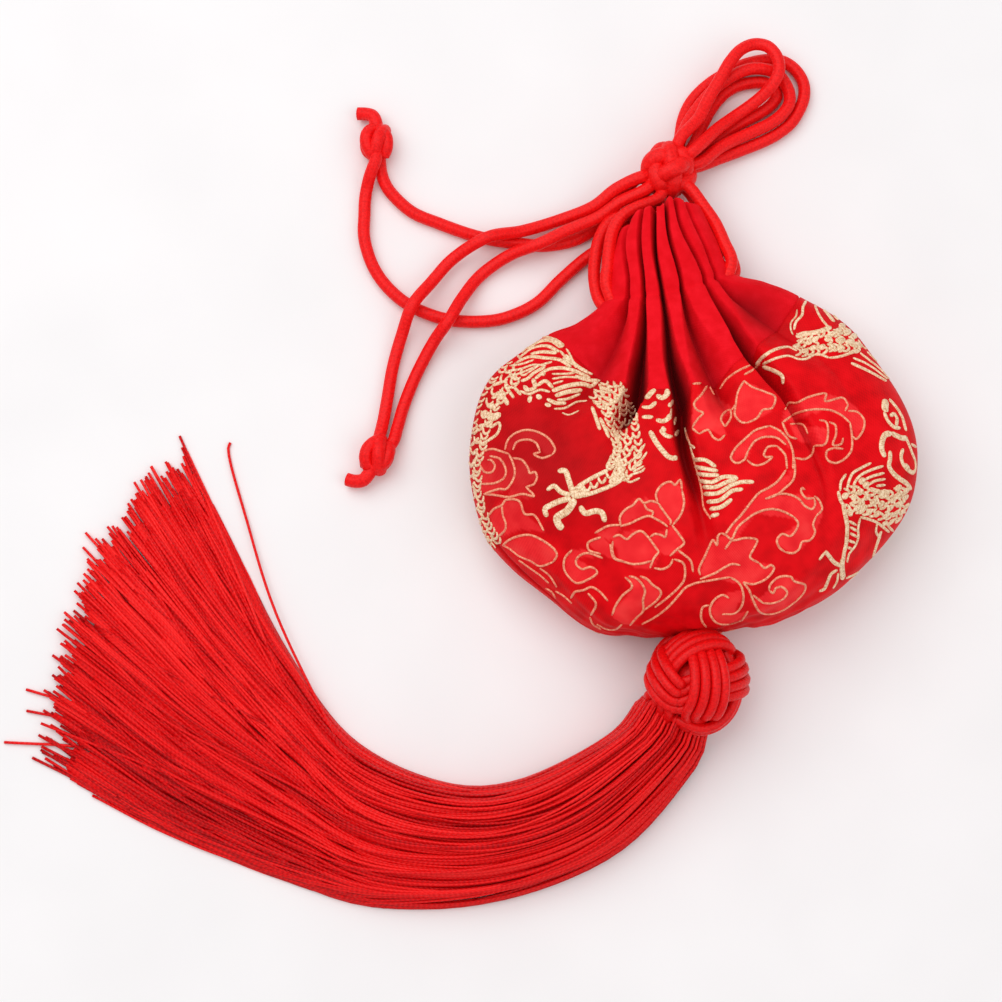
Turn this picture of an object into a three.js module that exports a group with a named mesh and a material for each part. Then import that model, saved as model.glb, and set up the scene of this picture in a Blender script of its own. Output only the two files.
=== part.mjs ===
// A red drawstring sachet lying on a table: a brocade bag with a plain gathered collar,
// knotted cords and a long silk tassel. Millimetres, +Z up. The tables below are laid out
// on the tabletop with +X to the right and +Y from the tassel up to the hanging loops.
import * as THREE from 'three';

// Driving dimensions
const CORD_DIAMETER = 2.5;
const CORD_SIDES = 8;
const CORD_STEP = 7;
const PIECE_GAP = 0.3;
const BROCADE_THICKNESS = 1.2;
const COLLAR_THICKNESS = 1.5;
const BUTTON_RADIUS = 5.7;
const BALL_RADIUS = 10;
const END_KNOT_LENGTH = 10.4;
const END_KNOT_RADIUS = 3.3;

// The middle of the bag, knots and tassel in the tables' plan, which becomes the origin
const PLAN_CENTRE = { x: -1.035, y: 0.25 };

// Sections of the bag from its mouth to its bottom seam. Each has the two ends of its side seams,
// how far its middle hangs below them, the seam's height above the table, how far the front swells
// up from the seam and the back down from it, and how deep its folds are.
const BAG_COLUMNS = ['leftX', 'leftY', 'rightX', 'rightY', 'drop', 'seamZ', 'front', 'back', 'fold'];
const BAG_ROWS = [
  [31.4, 60.2, 41.4, 63.4, 0.6, 8.0, 6.4, 6.4, 1.1], // mouth
  [27.6, 52.0, 46.2, 55.6, 1.2, 8.0, 7.0, 6.8, 1.7], // middle of the collar
  [25.6, 43.4, 50.0, 48.8, 2.6, 8.0, 7.0, 6.8, 2.1], // drawstring channel
  [19.4, 38.4, 56.6, 46.6, 10.6, 8.5, 10.5, 8.0, 2.8], // shoulders
  [13.3, 35.0, 63.5, 43.4, 17.0, 9.0, 14.0, 9.2, 2.8], // seam between collar and brocade
  [2.2, 25.0, 75.5, 35.0, 19.0, 9.5, 18.0, 11.0, 2.4],
  [-2.1, 11.5, 84.6, 18.5, 17.0, 9.5, 20.5, 12.0, 1.8], // widest section
  [0.7, -1.5, 85.2, 4.5, 13.7, 9.5, 18.0, 12.0, 0.8],
  [6.7, -9.8, 80.1, -7.0, 11.3, 9.5, 13.0, 10.0, 0.0],
  [14.7, -16.7, 71.7, -14.9, 7.1, 9.5, 7.0, 6.0, 0.0],
  [23.3, -20.8, 62.2, -19.6, 3.3, 9.5, 0.0, 0.0, 0.0], // bottom seam
];
const SEAM_ROW = 4;
const BOTTOM_ROW = BAG_ROWS.length - 1;
const SEAM_CLEARANCE = 0.016; // in rows, half of the gap between collar and brocade
const COLLAR_STEPS_PER_ROW = 2;
const BROCADE_STEPS_PER_ROW = 3;
const HALF_FOLD_SHARE = 0.33; // depth half way between a ridge and a groove
const SLOPE_STEP = 0.01; // in rows and in turns, to find which way the cloth faces

// Grooves between the folds: where each lies from the left seam (0) to the right one (1), its depth
// as a share of the section's, and the section where it has smoothed out.
const FRONT_FOLDS = [
  { at: 0.19, depth: 0.9, end: 5.6 },
  { at: 0.34, depth: 1.0, end: 6.0 },
  { at: 0.49, depth: 1.2, end: 8.0 },
  { at: 0.635, depth: 1.0, end: 5.8 },
  { at: 0.78, depth: 1.0, end: 7.4 },
  { at: 0.9, depth: 0.7, end: 5.6 },
];
const BACK_FOLDS = [
  { at: 0.14, depth: 0.6, end: 5.4 },
  { at: 0.28, depth: 0.7, end: 5.8 },
  { at: 0.43, depth: 0.7, end: 6.2 },
  { at: 0.57, depth: 0.7, end: 5.8 },
  { at: 0.72, depth: 0.7, end: 6.0 },
  { at: 0.86, depth: 0.6, end: 5.4 },
];

// Sections of the tassel from the ball to its fanned end: its inner and outer edge on the table,
// the height of its underside and how thick it is.
const TASSEL_COLUMNS = ['innerX', 'innerY', 'outerX', 'outerY', 'base', 'height'];
const TASSEL_ROWS = [
  [31.9, -40.0, 42.0, -45.8, 3.6, 11.0], // under the ball
  [21.4, -46.4, 33.9, -59.6, 0.0, 12.5],
  [3.8, -52.8, 11.5, -71.1, 0.0, 11.5],
  [-11.8, -51.1, -15.5, -75.9, 0.0, 9.5],
  [-25.5, -43.1, -40.7, -69.2, 0.0, 8.0],
  [-35.4, -30.7, -61.2, -59.6, 0.0, 6.5],
  [-44.5, -12.5, -75.0, -53.8, 0.0, 5.0],
  [-57.0, 9.0, -84.0, -44.1, 0.0, 3.5],
  [-71.0, 0.0, -87.8, -32.0, 0.0, 2.5], // ends of the longest threads
];
const TASSEL_SIDES = 16;
const TASSEL_STEPS_PER_ROW = 2;
const TASSEL_FLAT = 0.6; // share of the section's lower half that is pressed flat on the table

// Knots
const BUTTON_CENTRE = new THREE.Vector3(37.7, 70.7, 6.0);
const BALL_CENTRE = new THREE.Vector3(42.0, -33.85, BALL_RADIUS);
const END_KNOTS = [
  { name: 'end_knot_1', start: [-21.0, 74.9], heading: [-0.2, 0.98] },
  { name: 'end_knot_2', start: [-19.2, 15.4], heading: [-0.4, -0.92] },
];
// The end knot's outline as shares of its length and of its radius: a round lump and a short tail
const END_KNOT_OUTLINE = [
  [0, 0],
  [0.02, 0.85],
  [0.14, 0.95],
  [0.32, 1.0],
  [0.5, 0.92],
  [0.66, 0.62],
  [0.8, 0.58],
  [0.94, 0.66],
  [1, 0.5],
  [1, 0],
];
const END_KNOT_SIDES = 12;
const BUTTON_SIDES = 16;
const BUTTON_RINGS = 10;
const BALL_SIDES = 20;
const BALL_RINGS = 12;

// Routes of the cords, points chosen by hand from the knot outwards
const CORD_ROUTES = {
  hanging_loop_1: [
    [40.0, 76.4, 3.4], [41.1, 82.5, 1.9], [42.6, 86.1, 1.4], [44.7, 88.7, 1.4], [47.4, 91.0, 1.4],
    [50.3, 92.7, 1.4], [53.1, 94.2, 1.4], [56.0, 95.1, 1.4], [58.9, 95.5, 1.4], [61.8, 95.1, 1.4],
    [64.2, 93.4, 1.4], [65.8, 90.6, 1.4], [65.9, 87.6, 1.4], [64.8, 84.6, 1.4], [63.0, 81.9, 1.4],
    [60.3, 79.7, 1.4], [57.2, 78.0, 1.5], [53.0, 76.2, 1.8], [48.5, 74.3, 2.4], [43.7, 72.2, 3.4],
  ],
  hanging_loop_2: [
    [40.0, 76.4, 8.8], [44.0, 81.3, 7.5], [45.5, 84.5, 6.9], [48.8, 90.4, 6.9], [50.5, 93.3, 6.9],
    [52.8, 96.0, 6.4], [55.7, 97.4, 5.6], [58.3, 96.7, 6.0], [60.0, 94.3, 6.6], [60.4, 91.6, 6.6],
    [59.3, 89.0, 6.2], [57.2, 86.8, 5.0], [54.4, 84.7, 4.0], [51.2, 82.4, 4.1], [47.8, 79.4, 6.0],
    [42.8, 74.0, 8.9],
  ],
  hanging_loop_3: [
    [42.6, 75.3, 6.0], [45.0, 81.1, 3.6], [47.2, 85.3, 2.0], [49.6, 88.2, 1.5], [52.3, 89.9, 1.4],
    [55.3, 90.6, 1.4], [57.8, 90.6, 1.4], [59.6, 89.5, 1.4], [60.4, 87.8, 1.4], [59.2, 85.9, 1.4],
    [56.7, 84.0, 1.4], [53.6, 82.3, 1.4], [50.5, 80.3, 1.6], [47.3, 77.7, 2.6], [42.5, 74.7, 3.3],
  ],
  hanging_loop_4: [
    [40.2, 77.0, 6.0], [42.3, 81.8, 4.7], [45.1, 85.8, 4.4], [48.2, 89.1, 4.0], [51.5, 91.4, 4.0],
    [54.7, 92.7, 3.9], [57.6, 92.8, 3.6], [60.1, 92.1, 3.2], [61.7, 90.3, 3.1], [62.7, 88.0, 3.0],
    [62.7, 85.7, 3.0], [61.4, 83.6, 3.0], [59.0, 81.6, 3.0], [55.9, 80.0, 3.0], [52.1, 78.1, 3.6],
    [48.3, 75.8, 4.9], [44.3, 72.4, 6.0],
  ],
  left_cord_1: [
    [35.8, 64.5, 4.8], [31.0, 61.9, 5.5], [26.8, 60.8, 5.7], [25.0, 58.9, 5.9], [23.5, 55.6, 6.2],
    [22.8, 51.6, 6.5], [22.7, 47.2, 7.0], [23.8, 42.9, 7.7],
  ],
  left_cord_2: [
    [35.8, 64.5, 7.8], [31.0, 62.1, 8.5], [28.4, 60.4, 8.7], [26.5, 57.6, 8.9], [25.6, 53.6, 9.5],
    [25.2, 49.5, 9.8], [24.9, 46.2, 9.8],
  ],
  right_cord_1: [
    [42.2, 66.2, 4.5], [44.6, 62.4, 4.6], [47.1, 58.4, 5.0], [49.3, 54.2, 5.8], [50.7, 49.6, 6.8],
  ],
  right_cord_2: [
    [42.2, 66.2, 7.5], [44.6, 62.6, 8.0], [46.9, 58.8, 8.6], [48.5, 54.8, 9.2], [49.9, 50.7, 9.8],
  ],
  free_cord_1: [
    [31.5, 68.6, 7.5], [27.0, 66.6, 6.2], [22.8, 63.6, 4.6], [15.9, 61.3, 2.4], [8.2, 58.8, 3.0],
    [1.4, 57.0, 5.1], [-5.7, 53.1, 2.8], [-9.9, 48.3, 3.0], [-13.8, 42.9, 4.8], [-15.9, 37.5, 2.4],
    [-17.7, 31.1, 1.4], [-18.8, 24.3, 1.4], [-19.6, 19.6, 1.8], [-20.3, 16.4, 2.6],
  ],
  free_cord_2: [
    [33.0, 66.2, 7.5], [28.0, 63.9, 6.6], [23.5, 61.0, 5.4], [17.1, 58.3, 5.0], [12.1, 55.8, 5.0],
    [5.8, 53.9, 2.8], [-0.2, 49.9, 1.5], [-3.8, 44.9, 3.0], [-6.4, 40.0, 4.9], [-9.5, 36.0, 2.6],
    [-13.3, 28.8, 1.4], [-15.6, 22.7, 1.4], [-16.7, 18.6, 1.8], [-17.7, 15.3, 2.6],
  ],
  free_cord_3: [
    [31.1, 69.1, 4.3], [27.8, 65.4, 2.4], [24.8, 61.4, 1.4], [19.4, 57.6, 1.4], [12.9, 56.2, 1.4],
    [8.3, 56.6, 1.4], [1.4, 57.6, 1.4], [-2.7, 58.7, 1.4], [-8.4, 60.8, 1.4], [-14.1, 63.3, 1.4],
    [-18.5, 67.5, 1.4], [-19.8, 69.8, 1.4], [-20.4, 71.8, 1.4], [-20.7, 74.5, 1.6],
  ],
  free_cord_4: [
    [32.8, 66.4, 4.2], [30.9, 63.8, 2.2], [28.8, 60.8, 1.4], [26.2, 57.4, 1.4], [20.4, 53.0, 1.4],
    [15.9, 48.9, 1.4], [11.3, 44.3, 1.4], [6.6, 41.8, 1.4], [2.0, 40.6, 1.4], [-6.5, 40.8, 1.4],
    [-13.9, 43.5, 1.4], [-18.4, 47.0, 1.4], [-21.7, 51.6, 1.4], [-23.7, 57.9, 1.4], [-23.7, 62.6, 1.4],
    [-23.6, 65.8, 1.4], [-23.2, 68.3, 1.8], [-22.5, 70.6, 3.2], [-21.3, 73.8, 4.3],
  ],
};

function brocadeMaterial() {
  return new THREE.MeshStandardMaterial({ color: 0xc00c18, roughness: 0.45, metalness: 0 });
}

function collarMaterial() {
  return new THREE.MeshStandardMaterial({ color: 0xe41a2c, roughness: 0.75, metalness: 0 });
}

function cordMaterial() {
  return new THREE.MeshStandardMaterial({ color: 0xf02020, roughness: 0.5, metalness: 0 });
}

function tasselMaterial() {
  return new THREE.MeshStandardMaterial({ color: 0xd81018, roughness: 0.5, metalness: 0 });
}

function catmullRom(before, from, to, after, t) {
  const slopeFrom = (to - before) / 2;
  const slopeTo = (after - from) / 2;
  const rise = to - from;
  const square = 3 * rise - 2 * slopeFrom - slopeTo;
  const cube = slopeFrom + slopeTo - 2 * rise;
  return from + t * (slopeFrom + t * (square + t * cube));
}

// A smooth row between the rows of a table, as an object with its columns' names
function interpolatedRow(rowAt, lastRow, columns, position) {
  const first = Math.min(Math.floor(position), lastRow - 1);
  const around = [-1, 0, 1, 2].map((step) => rowAt(first + step));
  const values = columns.map((name, column) => {
    const [before, from, to, after] = around.map((row) => row[column]);
    return [name, catmullRom(before, from, to, after, position - first)];
  });
  return Object.fromEntries(values);
}

// Rows past the bottom seam run back up the other side, so that the bag closes in a round edge
function bagTableRow(index) {
  if (index <= BOTTOM_ROW) return BAG_ROWS[Math.max(index, 0)];
  const row = [...BAG_ROWS[2 * BOTTOM_ROW - index]];
  for (const name of ['front', 'back']) row[BAG_COLUMNS.indexOf(name)] *= -1;
  return row;
}

function bagRow(position) {
  return interpolatedRow(bagTableRow, BOTTOM_ROW, BAG_COLUMNS, position);
}

// A point of the bag before its folds: side is 'front' or 'back', and turn runs from the left seam (0)
// to the right one (1)
function bagPoint(side, position, turn) {
  const row = bagRow(position);
  const across = (1 - Math.cos(Math.PI * turn)) / 2;
  const swell = side === 'front' ? row.front : -row.back;
  return new THREE.Vector3(
    THREE.MathUtils.lerp(row.leftX, row.rightX, across),
    THREE.MathUtils.lerp(row.leftY, row.rightY, across) - 4 * row.drop * across * (1 - across),
    row.seamZ + swell * Math.sin(Math.PI * turn),
  );
}

function bagNormal(side, position, turn) {
  const step = SLOPE_STEP;
  const above = Math.max(position - step, 0);
  const atCorner = position > BOTTOM_ROW - step;
  const near = atCorner ? THREE.MathUtils.clamp(turn, 2 * step, 1 - 2 * step) : turn;
  const across = bagPoint(side, position, near + step).sub(bagPoint(side, position, near - step));
  const down = bagPoint(side, position + step, near).sub(bagPoint(side, above, near));
  const normal = down.cross(across).normalize();
  return side === 'front' ? normal : normal.negate();
}

// Columns of a side's mesh: along the seams, ridges and grooves, and half way between them
function bagColumns(folds) {
  const turnAt = (across) => Math.acos(1 - 2 * across) / Math.PI;
  const grooves = [0, ...folds.map((fold) => fold.at), 1];
  const ridges = grooves.slice(1).map((at, k) => (at + grooves[k]) / 2);
  const lines = [{ turn: 0, share: 0, fold: folds[0] }];
  folds.forEach((fold, k) => {
    lines.push({ turn: turnAt(ridges[k]), share: 0, fold });
    lines.push({ turn: turnAt(fold.at), share: 1, fold });
  });
  lines.push({ turn: turnAt(ridges.at(-1)), share: 0, fold: folds.at(-1) });
  lines.push({ turn: 1, share: 0, fold: folds.at(-1) });
  const columns = [lines[0]];
  for (let k = 1; k < lines.length; k += 1) {
    const [from, to] = [lines[k - 1], lines[k]];
    const groove = from.share > to.share ? from : to;
    const share = groove.share * HALF_FOLD_SHARE;
    columns.push({ turn: (from.turn + to.turn) / 2, share, fold: groove.fold });
    columns.push(to);
  }
  return columns;
}

function foldDepth(column, position) {
  const { fold, share } = column;
  const fade = 1 - THREE.MathUtils.smoothstep(position, SEAM_ROW, fold.end);
  return share * fold.depth * bagRow(position).fold * fade;
}

// A closed solid between two grids of points, outer and inner, whose rows run down and columns across
function shellGeometry(outer, inner, rowCount, columnCount, facesUp) {
  const positions = [...outer, ...inner].flatMap((point) => point.toArray());
  const triangles = [];
  const addQuad = (a, b, c, d) => {
    if (facesUp) triangles.push(a, d, b, b, d, c);
    else triangles.push(a, b, d, b, c, d);
  };
  const out = (row, column) => row * columnCount + column;
  const into = (row, column) => outer.length + out(row, column);
  for (let row = 0; row + 1 < rowCount; row += 1) {
    for (let column = 0; column + 1 < columnCount; column += 1) {
      const [right, below] = [column + 1, row + 1];
      addQuad(out(row, column), out(row, right), out(below, right), out(below, column));
      addQuad(into(row, right), into(row, column), into(below, column), into(below, right));
    }
  }
  const [lastRow, lastColumn] = [rowCount - 1, columnCount - 1];
  for (let column = 0; column < lastColumn; column += 1) {
    const right = column + 1;
    addQuad(into(0, column), into(0, right), out(0, right), out(0, column));
    addQuad(out(lastRow, column), out(lastRow, right), into(lastRow, right), into(lastRow, column));
  }
  for (let row = 0; row < lastRow; row += 1) {
    const below = row + 1;
    addQuad(into(row, 0), out(row, 0), out(below, 0), into(below, 0));
    addQuad(out(row, lastColumn), into(row, lastColumn), into(below, lastColumn), out(below, lastColumn));
  }
  const geometry = new THREE.BufferGeometry();
  geometry.setAttribute('position', new THREE.Float32BufferAttribute(positions, 3));
  geometry.setIndex(triangles);
  return geometry;
}

// One cloth wall of the bag between two sections, pressed flat where it meets the table
function clothWall(side, fromRow, toRow, steps, thickness) {
  const columns = bagColumns(side === 'front' ? FRONT_FOLDS : BACK_FOLDS);
  const lift = (side === 'front' ? PIECE_GAP : -PIECE_GAP) / 2;
  const outer = [];
  const inner = [];
  for (let step = 0; step <= steps; step += 1) {
    const position = THREE.MathUtils.lerp(fromRow, toRow, step / steps);
    for (const column of columns) {
      const normal = bagNormal(side, position, column.turn);
      const skin = bagPoint(side, position, column.turn);
      skin.addScaledVector(normal, -foldDepth(column, position));
      skin.z += lift;
      const inside = skin.clone().addScaledVector(normal, -thickness);
      skin.z = Math.max(skin.z, 0);
      inside.z = Math.max(inside.z, thickness);
      outer.push(skin);
      inner.push(inside);
    }
  }
  return shellGeometry(outer, inner, steps + 1, columns.length, side === 'front');
}

function collarWall(side) {
  const steps = SEAM_ROW * COLLAR_STEPS_PER_ROW;
  return clothWall(side, 0, SEAM_ROW - SEAM_CLEARANCE, steps, COLLAR_THICKNESS);
}

function brocadeWall(side) {
  const steps = (BOTTOM_ROW - SEAM_ROW) * BROCADE_STEPS_PER_ROW;
  return clothWall(side, SEAM_ROW + SEAM_CLEARANCE, BOTTOM_ROW, steps, BROCADE_THICKNESS);
}

function tasselGeometry() {
  const lastRow = TASSEL_ROWS.length - 1;
  const tableRow = (index) => TASSEL_ROWS[THREE.MathUtils.clamp(index, 0, lastRow)];
  const sections = lastRow * TASSEL_STEPS_PER_ROW;
  const positions = [];
  const triangles = [];
  for (let section = 0; section <= sections; section += 1) {
    const row = interpolatedRow(tableRow, lastRow, TASSEL_COLUMNS, section / TASSEL_STEPS_PER_ROW);
    for (let k = 0; k < TASSEL_SIDES; k += 1) {
      const angle = (2 * Math.PI * k) / TASSEL_SIDES;
      const across = (1 + Math.cos(angle)) / 2;
      const rise = Math.max(0, (Math.sin(angle) + TASSEL_FLAT) / (1 + TASSEL_FLAT));
      positions.push(THREE.MathUtils.lerp(row.innerX, row.outerX, across));
      positions.push(THREE.MathUtils.lerp(row.innerY, row.outerY, across));
      positions.push(Math.max(row.base, 0) + row.height * rise);
    }
  }
  const point = (section, k) => section * TASSEL_SIDES + (k % TASSEL_SIDES);
  for (let section = 0; section < sections; section += 1) {
    for (let k = 0; k < TASSEL_SIDES; k += 1) {
      triangles.push(point(section, k), point(section, k + 1), point(section + 1, k));
      triangles.push(point(section, k + 1), point(section + 1, k + 1), point(section + 1, k));
    }
  }
  const top = TASSEL_SIDES / 4;
  for (let k = 1; k + 1 < TASSEL_SIDES; k += 1) {
    triangles.push(point(0, top), point(0, top + k + 1), point(0, top + k));
    triangles.push(point(sections, top), point(sections, top + k), point(sections, top + k + 1));
  }
  const geometry = new THREE.BufferGeometry();
  geometry.setAttribute('position', new THREE.Float32BufferAttribute(positions, 3));
  geometry.setIndex(triangles);
  return geometry;
}

function cordGeometry(points) {
  const route = new THREE.CatmullRomCurve3(points.map((point) => new THREE.Vector3(...point)));
  const section = [];
  for (let k = 0; k < CORD_SIDES; k += 1) {
    const angle = (2 * Math.PI * k) / CORD_SIDES;
    section.push(new THREE.Vector2(Math.cos(angle), Math.sin(angle)).multiplyScalar(CORD_DIAMETER / 2));
  }
  const steps = Math.round(route.getLength() / CORD_STEP);
  return new THREE.ExtrudeGeometry(new THREE.Shape(section), { steps, extrudePath: route });
}

function buttonGeometry() {
  return new THREE.SphereGeometry(BUTTON_RADIUS, BUTTON_SIDES, BUTTON_RINGS);
}

function ballGeometry() {
  return new THREE.SphereGeometry(BALL_RADIUS, BALL_SIDES, BALL_RINGS);
}

function endKnotGeometry() {
  const outline = END_KNOT_OUTLINE.map(
    ([along, out]) => new THREE.Vector2(out * END_KNOT_RADIUS, along * END_KNOT_LENGTH),
  );
  return new THREE.LatheGeometry(outline, END_KNOT_SIDES);
}

const sachet = new THREE.Group();
sachet.position.set(-PLAN_CENTRE.x, -PLAN_CENTRE.y, 0);

function addPiece(name, geometry, material) {
  const piece = new THREE.Mesh(geometry, material);
  piece.name = name;
  sachet.add(piece);
  return piece;
}

for (const side of ['front', 'back']) {
  addPiece(`brocade_${side}`, brocadeWall(side), brocadeMaterial());
  addPiece(`collar_${side}`, collarWall(side), collarMaterial());
}

const button = addPiece('button_knot', buttonGeometry(), cordMaterial());
button.position.copy(BUTTON_CENTRE);

const ball = addPiece('ball_knot', ballGeometry(), cordMaterial());
ball.position.copy(BALL_CENTRE);

addPiece('tassel', tasselGeometry(), tasselMaterial());

for (const knot of END_KNOTS) {
  const piece = addPiece(knot.name, endKnotGeometry(), cordMaterial());
  piece.position.set(...knot.start, END_KNOT_RADIUS);
  piece.rotation.z = Math.atan2(knot.heading[1], knot.heading[0]) - Math.PI / 2;
}

for (const [name, points] of Object.entries(CORD_ROUTES)) {
  addPiece(name, cordGeometry(points), cordMaterial());
}

export default sachet;
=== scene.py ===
import math
import random

import bpy
import numpy as np
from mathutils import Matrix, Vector
from mathutils.bvhtree import BVHTree


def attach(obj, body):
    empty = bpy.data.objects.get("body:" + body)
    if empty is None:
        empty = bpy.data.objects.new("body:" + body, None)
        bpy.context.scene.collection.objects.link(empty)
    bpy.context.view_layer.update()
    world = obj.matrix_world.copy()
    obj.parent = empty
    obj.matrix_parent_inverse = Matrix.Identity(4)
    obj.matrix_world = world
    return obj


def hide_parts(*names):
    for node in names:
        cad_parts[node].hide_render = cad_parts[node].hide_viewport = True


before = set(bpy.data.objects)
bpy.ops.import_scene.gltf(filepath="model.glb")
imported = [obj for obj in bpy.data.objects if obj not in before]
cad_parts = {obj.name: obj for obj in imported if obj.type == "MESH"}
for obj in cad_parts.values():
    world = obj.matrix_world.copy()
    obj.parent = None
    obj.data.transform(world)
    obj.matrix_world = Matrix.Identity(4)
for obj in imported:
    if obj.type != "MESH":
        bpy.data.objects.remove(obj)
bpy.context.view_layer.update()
SEED = 7
chance = random.Random(SEED)

# One millimetre in the scene's metres
MILLIMETRE = 0.001
# What is added to a point of the tables to bring it into the shared frame, in millimetres
PLAN_SHIFT = np.array([1.035, -0.25, 0.0])

# Driving dimensions, in millimetres
CORD_DIAMETER = 2.5
BROCADE_THICKNESS = 0.7
COLLAR_THICKNESS = 0.6
# How finely a cord is drawn: the step between its rings, and its sides
CORD_STEP = 0.4
CORD_SIDES = 16

# The photo's picture plane: its size in pixels, and where the camera stands, in millimetres
PHOTO_SIDE = 1002
PHOTO_MIDDLE = PHOTO_SIDE / 2
VIEW_WIDTH = 200.0
VIEW_DISTANCE = 550.0
VIEW_ELEVATION = math.radians(80)
VIEW_TARGET = np.array([5.035, 3.75, 0.0])
SENSOR_WIDTH = 36.0
PIXEL = VIEW_WIDTH / PHOTO_SIDE
VIEW_FORWARD = np.array([0.0, math.cos(VIEW_ELEVATION), -math.sin(VIEW_ELEVATION)])
VIEW_UP = np.array([0.0, math.sin(VIEW_ELEVATION), math.cos(VIEW_ELEVATION)])
VIEW_POINT = VIEW_TARGET - VIEW_FORWARD * VIEW_DISTANCE

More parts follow.
